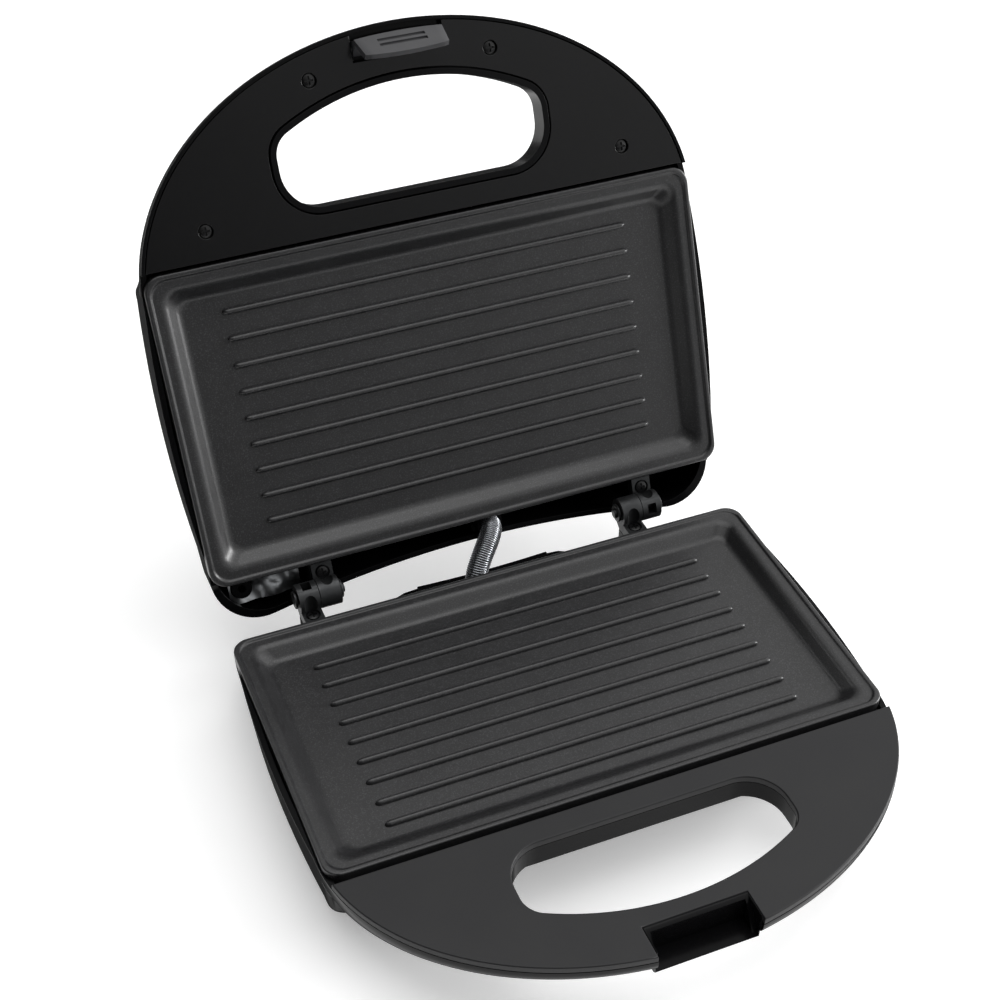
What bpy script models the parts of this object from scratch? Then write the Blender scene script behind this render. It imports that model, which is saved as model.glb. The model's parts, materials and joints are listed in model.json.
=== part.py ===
"""A two-slice sandwich maker, standing open on its four feet.

Lengths are in metres, +Z is up and the front faces -Y. The base and the lid are two
halves that share most of their shapes. Each half is drawn in its own frame, whose origin
is the hinge axis: a point is given by its place across (x), its reach forward of the
hinge and its depth, measured from the parting plane into the half. The lid's frame is
the same frame turned over and opened."""

import math

import bmesh
import bpy
from mathutils import Matrix, Vector

# Opening
OPEN_ANGLE = math.radians(113.05)
SEAM = 0.0003
OVERCUT = 0.003
SMOOTH_ANGLE = math.radians(32)
EASED = 0.0004
EASE_SHARE = 0.3
DIAGONAL_SHARE = 0.7

# Cooking plates
PLATE_WIDTH = 0.230
PLATE_LENGTH = 0.128
PLATE_CORNER = 0.007
PLATE_SETBACK = 0.0125
PLATE_FRONT = PLATE_SETBACK + PLATE_LENGTH
PLATE_DROP = 0.0015
PLATE_RIM = 0.0078
PLATE_WALL_RUN = 0.0052
PLATE_SINK = 0.0058
PLATE_METAL = 0.0028
PLATE_SKIRT = 0.0062
PLATE_EDGE_ROUND = 0.0012
PLATE_STEP = 0.0006
STUD_SIDE_ROOM = 0.045
STUD_ACROSS = PLATE_WIDTH / 2 - STUD_SIDE_ROOM
STUD_RADIUS = 0.0042

# Ribs pressed into the plates
RIB_COUNT = 9
RIB_FIRST = 0.0215
RIB_LAST = 0.01962
RIB_PITCH = (PLATE_LENGTH - RIB_FIRST - RIB_LAST) / (RIB_COUNT - 1)
RIB_END_ROOM = 0.02835
RIB_LENGTH = PLATE_WIDTH - 2 * RIB_END_ROOM
RIB_WIDTH = 0.0028
RIB_HEIGHT = 0.0017
RIB_POINT = 0.004
RIB_CREST_SHARE = 0.45

# Outline of the two casings
SHELL_SIDE_ROOM = 0.0033
SHELL_HALF_WIDTH = PLATE_WIDTH / 2 + SHELL_SIDE_ROOM
WIDEST_SHIFT = 0.0035
SHELL_WIDEST_REACH = PLATE_SETBACK + PLATE_LENGTH / 2 + WIDEST_SHIFT
SIDE_ARC_SHARE = 4.0234375
SIDE_ARC_RADIUS = PLATE_LENGTH * SIDE_ARC_SHARE
FRONT_CURVE_ROOM = 0.0125
FRONT_START = PLATE_FRONT - FRONT_CURVE_ROOM
REAR_MIDDLE = 0.001
REAR_ARC_RADIUS = 0.476
REAR_CORNER = 0.020

# Depths and walls of the casings
SHELL_WALL = 0.0024
SHELL_RIM = 0.0010
SHELL_BAND = 0.0060
SHELL_DEPTH = 0.038
SHELL_BOTTOM_ROUND = 0.013
SHELL_REAR_ROUND = 0.006
SLAB_DEPTH = 0.012
SLAB_LEDGE = 0.0006
TRAY_FRONT_ROOM = 0.0115
TRAY_LEAN = 0.016
TRAY_REACH = PLATE_FRONT + TRAY_FRONT_ROOM
TRAY_FOOT_REACH = TRAY_REACH - TRAY_LEAN
SIDE_TAPER = 0.007
REAR_TAPER = 0.002
SLAB_POWER = 2.0
TRAY_POWER = 4.0
EDGE_STEPS = 5
CORNER_STEPS = 4
FRONT_STEPS = 11

# Lowered rim behind the plates
REAR_DROP_START = 0.021
REAR_DROP_END = 0.009
LID_REAR_RIM = 0.012
BASE_REAR_RIM = 0.024
BASE_TAB_HALF_WIDTH = 0.032

# Handle opening
GRIP_SIDE_ROOM = 0.0636
GRIP_HALF_WIDTH = SHELL_HALF_WIDTH - GRIP_SIDE_ROOM
GRIP_SHELF = 0.0015
GRIP_LENGTH = 0.0411
GRIP_REAR = TRAY_REACH + GRIP_SHELF
GRIP_FRONT = GRIP_REAR + GRIP_LENGTH
GRIP_REAR_CORNER = 0.0155
GRIP_FRONT_CORNER = 0.010
GRIP_BOW = 0.014718984
GRIP_FRONT_ARC = GRIP_HALF_WIDTH**2 / (2 * GRIP_BOW) + GRIP_BOW / 2
HANDLE_BAR = 0.0214
TIP_REACH = GRIP_FRONT + HANDLE_BAR

# Handle covers
COVER_DROP = 0.0014
COVER_METAL = 0.0026
COVER_BACK_ROOM = 0.0029
COVER_BACK = PLATE_FRONT + COVER_BACK_ROOM
COVER_ROUND = 0.0009
COVER_SEAM = 0.0004
COVER_LIP = 0.0026

# Feet
FOOT_HEIGHT = 0.0040
FOOT_RADIUS = 0.0085
FOOT_CHAMFER = 0.0010
FOOT_PEG_RADIUS = 0.0028
FOOT_SIDE_ROOM = 0.0353
FOOT_ACROSS = SHELL_HALF_WIDTH - FOOT_SIDE_ROOM
FOOT_REAR_REACH = 0.0135
FOOT_FRONT_ROOM = 0.0305
FOOT_FRONT_REACH = PLATE_FRONT - FOOT_FRONT_ROOM

# Hinges
PIN_RADIUS = 0.0020
PIN_HEAD_RADIUS = 0.0038
PIN_HEAD = 0.0012
CLIP_RADIUS = 0.0040
CLIP_THICKNESS = 0.0011
BARREL_RADIUS = 0.0062
LEAF_WIDTH = 0.009
ARM_SIDE_ROOM = 0.0538
ARM_INNER = SHELL_HALF_WIDTH - ARM_SIDE_ROOM
ARM_OUTER = ARM_INNER + LEAF_WIDTH
KNUCKLE_OUTER = ARM_OUTER + LEAF_WIDTH
LEAF_FRONT = 0.0119
LEAF_NECK = 0.0047
LEAF_NECK_FOOT = 0.0053
LEAF_TOP = 0.0034
LEAF_BOTTOM = 0.0082
LEAF_SCREW_REACH = 0.0076
WINDOW_WIDTH = 0.0040
WINDOW_HEIGHT = 0.0046
POST_REAR = 0.0015

# Fasteners
HEAD_RADIUS = 0.0026
HEAD_HEIGHT = 0.0014
SHANK_RADIUS = 0.0013
CROSS_LENGTH = 0.0034
CROSS_WIDTH = 0.0008
CROSS_DEPTH = 0.0008
COVER_SCREW_LENGTH = 0.0062
LEAF_SCREW_LENGTH = 0.012
PLATE_SCREW_LENGTH = 0.008
FRONT_SCREW_ACROSS = 0.0368
FRONT_SCREW_ROOM = 0.0161
FRONT_SCREW_REACH = TIP_REACH - FRONT_SCREW_ROOM
BACK_SCREW_SIDE_ROOM = 0.0312
BACK_SCREW_ACROSS = SHELL_HALF_WIDTH - BACK_SCREW_SIDE_ROOM
BACK_SCREW_SHIFT = 0.0011
BACK_SCREW_REACH = TRAY_REACH + BACK_SCREW_SHIFT
BOSS_RADIUS = 0.0038

# Latch
LATCH_HALF_WIDTH = 0.0177
LATCH_TIP_HALF_WIDTH = 0.0166
LATCH_PIVOT_ROOM = 0.0080
LATCH_PIVOT_REACH = TIP_REACH - LATCH_PIVOT_ROOM
LATCH_PIVOT_DEPTH = 0.0062
LATCH_EYE_RADIUS = 0.0028
LATCH_FACE_SHIFT = 0.0036
LATCH_FACE_REACH = LATCH_PIVOT_REACH + LATCH_FACE_SHIFT
LATCH_FACE_RISE = 0.0015
LATCH_LEAN = 0.0057
LATCH_TIP_REACH = LATCH_FACE_REACH - LATCH_LEAN
LATCH_TIP_RISE = 0.0120
LATCH_TIP_METAL = 0.0014
LATCH_METAL = 0.0031
LATCH_PIN_RADIUS = 0.0012
LATCH_GROOVE_LENGTH = 0.019
LATCH_GROOVE_WIDTH = 0.0011
LATCH_GROOVE_PITCH = 0.0028
LATCH_ROOM = 0.0008
LATCH_BAY_LIP = 0.0022
LATCH_BAY_BACK = 0.0046
LATCH_BAY_REAR = LATCH_PIVOT_REACH - LATCH_BAY_BACK
LATCH_BAY_DEPTH = 0.0092
LATCH_CHEEK = 0.0046

# Notch and catch pocket in the base
NOTCH_HALF_WIDTH = 0.0203
NOTCH_LENGTH = 0.0127
NOTCH_BACK = TIP_REACH - NOTCH_LENGTH
NOTCH_FRONT_DEPTH = 0.0070
POCKET_MOUTH_LIP = 0.0034
POCKET_SLOPE = 0.0020
POCKET_MOUTH = TIP_REACH - POCKET_MOUTH_LIP
POCKET_FRONT = POCKET_MOUTH - POCKET_SLOPE
POCKET_DEPTH = 0.0129
POCKET_FLOOR = 0.0014
CHIN_CHAMFER = 0.0016
POCKET_WALL = 0.0022

# Heating elements
ELEMENT_RADIUS = 0.00325
ELEMENT_SIDE_ROOM = 0.037
ELEMENT_HALF_WIDTH = PLATE_WIDTH / 2 - ELEMENT_SIDE_ROOM
ELEMENT_REAR_REACH = 0.033
ELEMENT_FRONT_ROOM = 0.0195
ELEMENT_FRONT_REACH = PLATE_FRONT - ELEMENT_FRONT_ROOM
ELEMENT_BEND = 0.016
ELEMENT_END_ACROSS = 0.018
BEND_STEPS = 4

# Heat shields
SHIELD_DEPTH = 0.0230
SHIELD_METAL = 0.0007
SHIELD_SIDE_ROOM = 0.0098
SHIELD_HALF_WIDTH = SHELL_HALF_WIDTH - SHIELD_SIDE_ROOM
SHIELD_REAR = 0.0145
SHIELD_FRONT_ROOM = 0.0030
SHIELD_FRONT = PLATE_FRONT - SHIELD_FRONT_ROOM
SHIELD_RIM_DEPTH = 0.0135
SHIELD_CORNER = 0.010
EAR_SIDE_ROOM = 0.0183
EAR_WIDTH = 0.0130
EAR_OUTER = SHELL_HALF_WIDTH - EAR_SIDE_ROOM
EAR_INNER = EAR_OUTER - EAR_WIDTH
EAR_REAR = 0.0030
SHIELD_POST_SIDE_ROOM = 0.0625
SHIELD_POST_ACROSS = SHIELD_HALF_WIDTH - SHIELD_POST_SIDE_ROOM
SHIELD_POST_REAR = 0.050
SHIELD_POST_FRONT_ROOM = 0.0375
SHIELD_POST_FRONT = SHIELD_FRONT - SHIELD_POST_FRONT_ROOM
SHIELD_POST_RADIUS = 0.0040

# Wire conduit between the halves
CONDUIT_BASE_ACROSS = -0.0053
CONDUIT_LID_ACROSS = 0.0080
CONDUIT_REACH = 0.0068
CONDUIT_DEPTH = 0.0100
CONDUIT_BOW = 0.0105
COIL_RADIUS = 0.00475
COIL_WIRE_RADIUS = 0.00045
COIL_PITCH = 0.00235
COIL_POINTS = 10
SLEEVE_RADIUS = 0.0033
SLEEVE_STRAIGHT = 0.0012
BUSHING_RADIUS = 0.0049
BUSHING_LENGTH = 0.0060
BUSHING_BOSS_MARGIN = 0.0022
BUSHING_PROUD = 0.0030

# Electrical parts
THERMOSTAT_RADIUS = 0.0090
THERMOSTAT_HEIGHT = 0.0075
THERMOSTAT_CAP_RADIUS = 0.0060
THERMOSTAT_SHOULDER = 0.0026
THERMOSTAT_ACROSS = -0.018
THERMOSTAT_REACH = 0.078
FUSE_RADIUS = 0.0022
FUSE_LENGTH = 0.018
FUSE_ACROSS = 0.020
FUSE_REACH = 0.060
TERMINAL_LENGTH = 0.034
TERMINAL_WIDTH = 0.016
TERMINAL_HEIGHT = 0.0085
TERMINAL_PITCH = 0.0106
TERMINAL_ACROSS = 0.040
TERMINAL_REACH = 0.032
GLAND_SIDE_ROOM = 0.0045
GLAND_ACROSS = ARM_INNER - GLAND_SIDE_ROOM
GLAND_DEPTH = 0.0300
GLAND_RADIUS = 0.0042
GLAND_FLANGE_RADIUS = 0.0052
GLAND_FLANGE = 0.0016
GLAND_NOSE = 0.0050
GLAND_NOSE_RADIUS = 0.0036
GLAND_BORE = 0.0026
LAMP_PITCH = 0.014
LAMP_RADIUS = 0.0032

# How finely round shapes are cut
FINE_SIDES = 16
HOLE_SIDES = 12
SCREW_SIDES = 10

# Finish colours as red, green, blue shares
BLACK_SHARES = (0.012, 0.012, 0.012)
SATIN_BLACK_SHARES = (0.028, 0.028, 0.029)
NON_STICK_SHARES = (0.030, 0.030, 0.031)
STEEL_SHARES = (0.55, 0.56, 0.58)
DARK_METAL_SHARES = (0.10, 0.10, 0.105)
GREY_SHARES = (0.115, 0.115, 0.120)
RUBBER_SHARES = (0.02, 0.02, 0.02)
RED_SHARES = (0.60, 0.03, 0.02)
GREEN_SHARES = (0.04, 0.42, 0.08)
CREAM_SHARES = (0.62, 0.57, 0.46)

HINGE_HEIGHT = SHELL_DEPTH + FOOT_HEIGHT


def clear_scene():
    for thing in list(bpy.data.objects):
        bpy.data.objects.remove(thing, do_unlink=True)


def finish(name, shares, metallic, roughness):
    material = bpy.data.materials.new(name)
    material.use_nodes = True
    shader = material.node_tree.nodes["Principled BSDF"]
    shader.inputs["Base Color"].default_value = (*shares, 1.0)
    shader.inputs["Metallic"].default_value = metallic
    shader.inputs["Roughness"].default_value = roughness
    return material


# Solids and how they are joined


def place(across, reach, depth):
    return Vector((across, -reach, -depth))


def add(name, mesh, parent, material):
    """A named piece made from a bmesh, hung from its half's frame."""
    bmesh.ops.recalc_face_normals(mesh, faces=mesh.faces)
    data = bpy.data.meshes.new(name)
    mesh.to_mesh(data)
    mesh.free()
    data.materials.append(material)
    data.shade_smooth()
    data.set_sharp_from_angle(angle=SMOOTH_ANGLE)
    piece = bpy.data.objects.new(name, data)
    bpy.context.collection.objects.link(piece)
    piece.parent = parent
    return piece


def tool(name, mesh, parent, material):
    """A helper solid that shapes another piece and isn't a piece itself."""
    piece = add(name, mesh, parent, material)
    piece.hide_render = True
    piece.display_type = "WIRE"
    return piece


def shape(piece, helper, operation):
    step = piece.modifiers.new(helper.name, "BOOLEAN")
    step.operation = operation
    step.solver = "EXACT"
    step.object = helper


def cut(piece, helper):
    shape(piece, helper, "DIFFERENCE")


def join(piece, helper):
    shape(piece, helper, "UNION")


def skin(rings):
    """One closed solid from a stack of rings with the same number of points."""
    mesh = bmesh.new()
    rows = [[mesh.verts.new(point) for point in ring] for ring in rings]
    mesh.faces.new(rows[0])
    mesh.faces.new(reversed(rows[-1]))
    for upper, lower in zip(rows, rows[1:]):
        for here in range(len(upper)):
            after = (here + 1) % len(upper)
            mesh.faces.new((upper[here], lower[here], lower[after], upper[after]))
    return mesh


def add_block(mesh, across, reach, depth):
    """A box between two places across, two reaches and two depths."""
    low = place(across[0], reach[1], depth[1])
    high = place(across[1], reach[0], depth[0])
    size = Matrix.Diagonal((*(high - low), 1.0))
    bmesh.ops.create_cube(mesh, size=1.0, matrix=Matrix.Translation((low + high) / 2) @ size)


def add_rod(mesh, start, end, radius, sides=HOLE_SIDES):
    """A round bar from one point to another."""
    along = end - start
    turn = along.to_track_quat("Z", "Y").to_matrix().to_4x4()
    middle = Matrix.Translation((start + end) / 2)
    bmesh.ops.create_cone(
        mesh, cap_ends=True, segments=sides, radius1=radius, radius2=radius,
        depth=along.length, matrix=middle @ turn,
    )


def add_post(mesh, across, reach, top, bottom, radius, sides=HOLE_SIDES):
    add_rod(mesh, place(across, reach, bottom), place(across, reach, top), radius, sides)


def turned(profile, start, along, sides=FINE_SIDES):
    """A solid of revolution: profile holds (distance along, radius) from end to end."""
    mesh = bmesh.new()
    turn = Matrix.Translation(start) @ along.to_track_quat("Z", "Y").to_matrix().to_4x4()
    points = [mesh.verts.new(turn @ Vector((radius, 0.0, rise))) for rise, radius in profile]
    edges = [mesh.edges.new(pair) for pair in zip(points, points[1:])]
    if profile[0][1] > 0.0:
        edges.append(mesh.edges.new((points[-1], points[0])))
    axis = turn.to_3x3() @ Vector((0.0, 0.0, 1.0))
    bmesh.ops.spin(
        mesh, geom=points + edges, cent=start, axis=axis, angle=math.tau,
        steps=sides, use_merge=True,
    )
    bmesh.ops.remove_doubles(mesh, verts=mesh.verts, dist=SEAM / sides)
    return mesh


def prism(outline, top, bottom):
    """An outline of (across, reach) pairs, extruded between two depths."""
    return skin([[place(x, s, depth) for x, s in outline] for depth in (top, bottom)])


def side_prism(outline, inner, outer):
    """An outline of (reach, depth) pairs, extruded across between two places."""
    return skin([[place(across, s, d) for s, d in outline] for across in (inner, outer)])


def arc(centre, radius, start, end, steps):
    """Points (across, reach) on an arc, angles in degrees from +across."""
    points = []
    for step in range(steps + 1):
        angle = math.radians(start + (end - start) * step / steps)
        points.append((centre[0] + radius * math.cos(angle), centre[1] + radius * math.sin(angle)))
    return points


def mirrored(right_half):
    """A whole outline from its right half, which runs from the rear to the front."""
    left_half = [(-x, s) for x, s in reversed(right_half) if x > SEAM]
    return right_half + left_half


# Casing outline


def side_edge(reach):
    return SHELL_HALF_WIDTH - (reach - SHELL_WIDEST_REACH) ** 2 / (2 * SIDE_ARC_RADIUS)


def rear_edge(across):
    return REAR_MIDDLE - across**2 / (2 * REAR_ARC_RADIUS)


def front_curve(half_width, reach, power):
    """A quarter of a superellipse from the side of the casing to its tip."""
    points = []
    for step in range(FRONT_STEPS + 1):
        angle = math.pi / 2 * step / FRONT_STEPS
        across = half_width * max(math.cos(angle), 0.0) ** (2 / power)
        points.append((across, FRONT_START + (reach - FRONT_START) * math.sin(angle) ** (2 / power)))
    return points


def shell_outline(side_in, rear_in, reach, power):
    """The casing's outline, drawn in by one amount at the sides and another at the rear."""
    corner_across = side_edge(REAR_CORNER) - side_in - REAR_CORNER
    lean = math.atan(corner_across / REAR_ARC_RADIUS)
    meet = corner_across - REAR_CORNER * math.sin(lean)
    corner_reach = rear_edge(meet) + rear_in + REAR_CORNER * math.cos(lean)
    rear = []
    for step in range(EDGE_STEPS):
        across = meet * step / EDGE_STEPS
        rear.append((across, rear_edge(across) + rear_in))
    corner = arc((corner_across, corner_reach), REAR_CORNER, -90 - math.degrees(lean), 0, CORNER_STEPS)
    side = []
    for step in range(1, EDGE_STEPS):
        reach_here = corner_reach + (FRONT_START - corner_reach) * step / EDGE_STEPS
        side.append((side_edge(reach_here) - side_in, reach_here))
    front = front_curve(side_edge(FRONT_START) - side_in, reach, power)
    return mirrored(rear + corner + side + front)


def shell_rings(wall):
    """Rings of the casing's outside (no wall) or of the hollow inside it."""
    rings = []

    def ring(depth, side_in, rear_in, reach, power):
        outline = shell_outline(side_in + wall, rear_in + wall, reach - wall, power)
        rings.append([place(x, s, depth) for x, s in outline])

    def draft(depth):
        return max(depth - SHELL_BAND, 0.0) / (SHELL_DEPTH - SHELL_BAND)

    top = -OVERCUT if wall else SHELL_RIM
    ring(top, 0.0, 0.0, TIP_REACH, SLAB_POWER)
    slab_round = SLAB_DEPTH - wall - SHELL_BAND
    for step in range(4):
        angle = math.pi / 2 * step / 3
        depth = SHELL_BAND + slab_round * math.sin(angle)
        reach = TIP_REACH - slab_round * (1 - math.cos(angle))
        share = draft(depth)
        ring(depth, SIDE_TAPER * share, REAR_TAPER * share, reach, SLAB_POWER)
    ledge = SLAB_DEPTH - wall + SLAB_LEDGE
    share = draft(ledge)
    ring(ledge, SIDE_TAPER * share, REAR_TAPER * share, TRAY_REACH, TRAY_POWER)
    round_start = SHELL_DEPTH - SHELL_BOTTOM_ROUND
    for step in range(4):
        angle = math.pi / 2 * step / 3
        curl = 1 - math.cos(angle)
        depth = round_start + (SHELL_BOTTOM_ROUND - wall) * math.sin(angle)
        share = draft(depth)
        fall = (depth - SLAB_DEPTH) / (SHELL_DEPTH - SLAB_DEPTH)
        reach = TRAY_REACH + (TRAY_FOOT_REACH - TRAY_REACH) * fall
        side_in = SIDE_TAPER * share + (SHELL_BOTTOM_ROUND - wall) * curl
        rear_in = REAR_TAPER * share + (SHELL_REAR_ROUND - wall) * curl
        ring(depth, side_in, rear_in, reach - (SHELL_REAR_ROUND - wall) * curl, TRAY_POWER)
    return rings


def grip_outline(grow):
    """The handle opening, straight behind and bowed in front."""
    rear_centre = (GRIP_HALF_WIDTH - GRIP_REAR_CORNER, GRIP_REAR + GRIP_REAR_CORNER)
    front_across = GRIP_HALF_WIDTH - GRIP_FRONT_CORNER
    bow_centre = GRIP_FRONT - GRIP_FRONT_ARC
    rise = math.sqrt((GRIP_FRONT_ARC - GRIP_FRONT_CORNER) ** 2 - front_across**2)
    tangent = math.degrees(math.atan2(rise, front_across))
    rear = arc(rear_centre, GRIP_REAR_CORNER + grow, -90, 0, CORNER_STEPS)
    front = arc((front_across, bow_centre + rise), GRIP_FRONT_CORNER + grow, 0, tangent, CORNER_STEPS)
    bow = arc((0.0, bow_centre), GRIP_FRONT_ARC + grow, tangent, 90, EDGE_STEPS)
    return mirrored([(0.0, GRIP_REAR - grow)] + rear + front + bow[1:])


# Casings


def rear_drop(name, depth, across, frame, material):
    """The block that lowers the rim behind the plates."""
    far = -REAR_CORNER - SHELL_WALL
    outline = [
        (REAR_DROP_START, -OVERCUT),
        (REAR_DROP_START, SHELL_RIM),
        (REAR_DROP_END, depth),
        (far, depth),
        (far, -OVERCUT),
    ]
    return tool(name, side_prism(outline, *across), frame, material)


def leaf_span(side, leaf):
    """Places across of a hinge leaf: the arm is the inner one, the knuckle the outer."""
    spans = {"arm": (ARM_INNER, ARM_OUTER), "knuckle": (ARM_OUTER + SEAM, KNUCKLE_OUTER)}
    inner, outer = spans[leaf]
    return (inner, outer) if side > 0 else (-outer, -inner)


LEAVES = ((-1, "knuckle"), (1, "arm"))


def casing_posts():
    """Everything that stands on the floor of a casing."""
    mesh = bmesh.new()
    floor = SHELL_DEPTH - SHELL_WALL / 2
    for side, leaf in LEAVES:
        low, high = leaf_span(side, leaf)
        add_block(
            mesh, (low, high), (POST_REAR, LEAF_FRONT), (LEAF_BOTTOM + SEAM, floor),
        )
    for side in (-1, 1):
        for reach in (SHIELD_POST_REAR, SHIELD_POST_FRONT):
            top = SHIELD_DEPTH + SHIELD_METAL + SEAM
            add_post(mesh, side * SHIELD_POST_ACROSS, reach, top, floor, SHIELD_POST_RADIUS)
    return mesh


def cover_bosses():
    """Round seats of the cover's four screws."""
    mesh = bmesh.new()
    top = COVER_DROP + COVER_METAL + SEAM
    for across, reach in cover_screw_places():
        add_post(mesh, across, reach, top, SLAB_DEPTH - SHELL_WALL / 2, BOSS_RADIUS, FINE_SIDES)
    return mesh


def cover_screw_places():
    return [
        (-BACK_SCREW_ACROSS, BACK_SCREW_REACH),
        (-FRONT_SCREW_ACROSS, FRONT_SCREW_REACH),
        (FRONT_SCREW_ACROSS, FRONT_SCREW_REACH),
        (BACK_SCREW_ACROSS, BACK_SCREW_REACH),
    ]


def keep_inside(posts, frame, helper):
    """Trims what stands in a casing to the casing's outside."""
    outside = tool(posts.name + "_bounds", skin(shell_rings(0.0)), frame, helper)
    shape(posts, outside, "INTERSECT")


def casing(half, frame, paint, helper):
    """The outer casing of a half: a thin shell, deep under the plate, shallow at the handle."""
    lid = half == "lid"
    body = add(half + "_housing", skin(shell_rings(0.0)), frame, paint)
    hollow = tool(half + "_hollow", skin(shell_rings(SHELL_WALL)), frame, helper)
    collar = prism(grip_outline(SHELL_WALL), -2 * OVERCUT, SLAB_DEPTH + OVERCUT)
    cut(hollow, tool(half + "_grip_collar", collar, frame, helper))
    tip = bmesh.new()
    tip_half_width = NOTCH_HALF_WIDTH + POCKET_WALL
    add_block(tip, (-tip_half_width, tip_half_width),
              (NOTCH_BACK - POCKET_WALL, TIP_REACH + OVERCUT), (-2 * OVERCUT, SLAB_DEPTH + OVERCUT))
    cut(hollow, tool(half + "_tip_block", tip, frame, helper))
    cut(body, hollow)
    # The plate is as wide as the rim, so a ledge is let into the wall for its skirt.
    half_width = PLATE_WIDTH / 2 + SEAM
    rear = PLATE_SETBACK - SEAM
    front = PLATE_FRONT + SEAM
    corner = PLATE_CORNER + SEAM
    ledge = [(0.0, rear), (half_width, rear)]
    ledge += arc((half_width - corner, front - corner), corner, 0, 90, 4) + [(0.0, front)]
    ledge = mirrored(ledge)
    ledge_depth = PLATE_DROP + PLATE_SKIRT + SEAM
    cut(body, tool(half + "_plate_ledge", prism(ledge, -OVERCUT, ledge_depth), frame, helper))
    wide = (-SHELL_HALF_WIDTH - OVERCUT, SHELL_HALF_WIDTH + OVERCUT)
    cut(body, rear_drop(half + "_rear_drop", LID_REAR_RIM, wide, frame, helper))
    posts = tool(half + "_posts", casing_posts(), frame, helper)
    keep_inside(posts, frame, helper)
    join(body, posts)
    grip = prism(grip_outline(0.0), -OVERCUT, SLAB_DEPTH + OVERCUT)
    cut(body, tool(half + "_grip", grip, frame, helper))
    # The cover and its seam lie inside the rim, so what stands there is lowered to suit.
    recess_top = cover_outline(-COVER_SEAM)
    recess = prism(recess_top, -OVERCUT, COVER_DROP + COVER_METAL + SEAM)
    recess_tool = tool(half + "_cover_recess", recess, frame, helper)
    if lid:
        lip = prism(grip_outline(COVER_LIP), -2 * OVERCUT, SLAB_DEPTH)
        cut(recess_tool, tool("lid_grip_lip", lip, frame, helper))
    cut(body, recess_tool)
    return body


def base_casing(frame, paint, helper):
    body = casing("base", frame, paint, helper)
    for name, low, high in (
        ("left", -SHELL_HALF_WIDTH - OVERCUT, -BASE_TAB_HALF_WIDTH),
        ("right", BASE_TAB_HALF_WIDTH, SHELL_HALF_WIDTH + OVERCUT),
    ):
        drop = rear_drop("base_drop_" + name, BASE_REAR_RIM, (low, high), frame, helper)
        keep = bmesh.new()
        for side, leaf in LEAVES:
            add_block(keep, leaf_span(side, leaf), (POST_REAR, LEAF_FRONT), (-SHELL_DEPTH, SHELL_DEPTH))
        cut(drop, tool("base_keep_" + name, keep, frame, helper))
        cut(body, drop)
    join(body, tool("base_catch_chin", catch_chin(), frame, helper))
    cut(body, notch("base_notch", frame, helper))
    cut(body, catch_pocket("base_catch_pocket", frame, helper))
    cut(body, tool("base_holes", base_holes(), frame, helper))
    return body


def catch_chin():
    """The shallow chin under the tip that closes the latch's pocket from below."""
    rear = NOTCH_BACK - POCKET_WALL + SEAM
    front = POCKET_FRONT + POCKET_WALL / 2
    bottom = POCKET_DEPTH + POCKET_FLOOR
    outline = [
        (rear, SLAB_DEPTH - SHELL_WALL),
        (front, SLAB_DEPTH - SHELL_WALL),
        (front, bottom - CHIN_CHAMFER),
        (front - CHIN_CHAMFER, bottom),
        (rear + CHIN_CHAMFER, bottom),
        (rear, bottom - CHIN_CHAMFER),
    ]
    half_width = LATCH_HALF_WIDTH + LATCH_ROOM + POCKET_WALL
    return side_prism(outline, -half_width, half_width)


def catch_pocket(name, frame, helper):
    """The pocket that takes the latch's tongue when the lid is shut."""
    outline = [
        (NOTCH_BACK + SEAM, -OVERCUT),
        (POCKET_MOUTH, -OVERCUT),
        (POCKET_MOUTH, NOTCH_FRONT_DEPTH),
        (POCKET_FRONT, POCKET_DEPTH),
        (NOTCH_BACK + SEAM, POCKET_DEPTH),
    ]
    room = LATCH_HALF_WIDTH + LATCH_ROOM
    return tool(name, side_prism(outline, -room, room), frame, helper)


def notch(name, frame, helper):
    """The finger notch in the tip of the base, whose floor slopes down to the front."""
    outline = [
        (NOTCH_BACK, -OVERCUT),
        (NOTCH_BACK, COVER_DROP),
        (TIP_REACH + OVERCUT, NOTCH_FRONT_DEPTH + OVERCUT / 2),
        (TIP_REACH + OVERCUT, -OVERCUT),
    ]
    return tool(name, side_prism(outline, -NOTCH_HALF_WIDTH, NOTCH_HALF_WIDTH), frame, helper)


def foot_places():
    return {
        "foot_rear_left": (-FOOT_ACROSS, FOOT_REAR_REACH),
        "foot_rear_right": (FOOT_ACROSS, FOOT_REAR_REACH),
        "foot_front_left": (-FOOT_ACROSS, FOOT_FRONT_REACH),
        "foot_front_right": (FOOT_ACROSS, FOOT_FRONT_REACH),
    }


def base_holes():
    """Holes through the base's floor and rear wall."""
    mesh = bmesh.new()
    low = SHELL_DEPTH + OVERCUT
    for across, reach in foot_places().values():
        add_post(mesh, across, reach, SHELL_DEPTH - 2 * SHELL_WALL, low, FOOT_PEG_RADIUS + SEAM)
    for across, reach in cover_screw_places():
        if reach == FRONT_SCREW_REACH:
            add_post(mesh, across, reach, SLAB_DEPTH - 2 * SHELL_WALL, SLAB_DEPTH + OVERCUT,
                     SHANK_RADIUS + SEAM)
    for side, leaf in LEAVES:
        middle = sum(leaf_span(side, leaf)) / 2
        deep = LEAF_SCREW_LENGTH + LEAF_TOP + SEAM
        add_post(mesh, middle, LEAF_SCREW_REACH, 0.0, deep, SHANK_RADIUS + SEAM)
    wall = rear_edge(GLAND_ACROSS)
    ends = [place(GLAND_ACROSS, wall + aside, GLAND_DEPTH) for aside in (-OVERCUT, OVERCUT + 2 * SHELL_WALL)]
    add_rod(mesh, *ends, GLAND_RADIUS + SEAM, FINE_SIDES)
    return mesh


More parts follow.
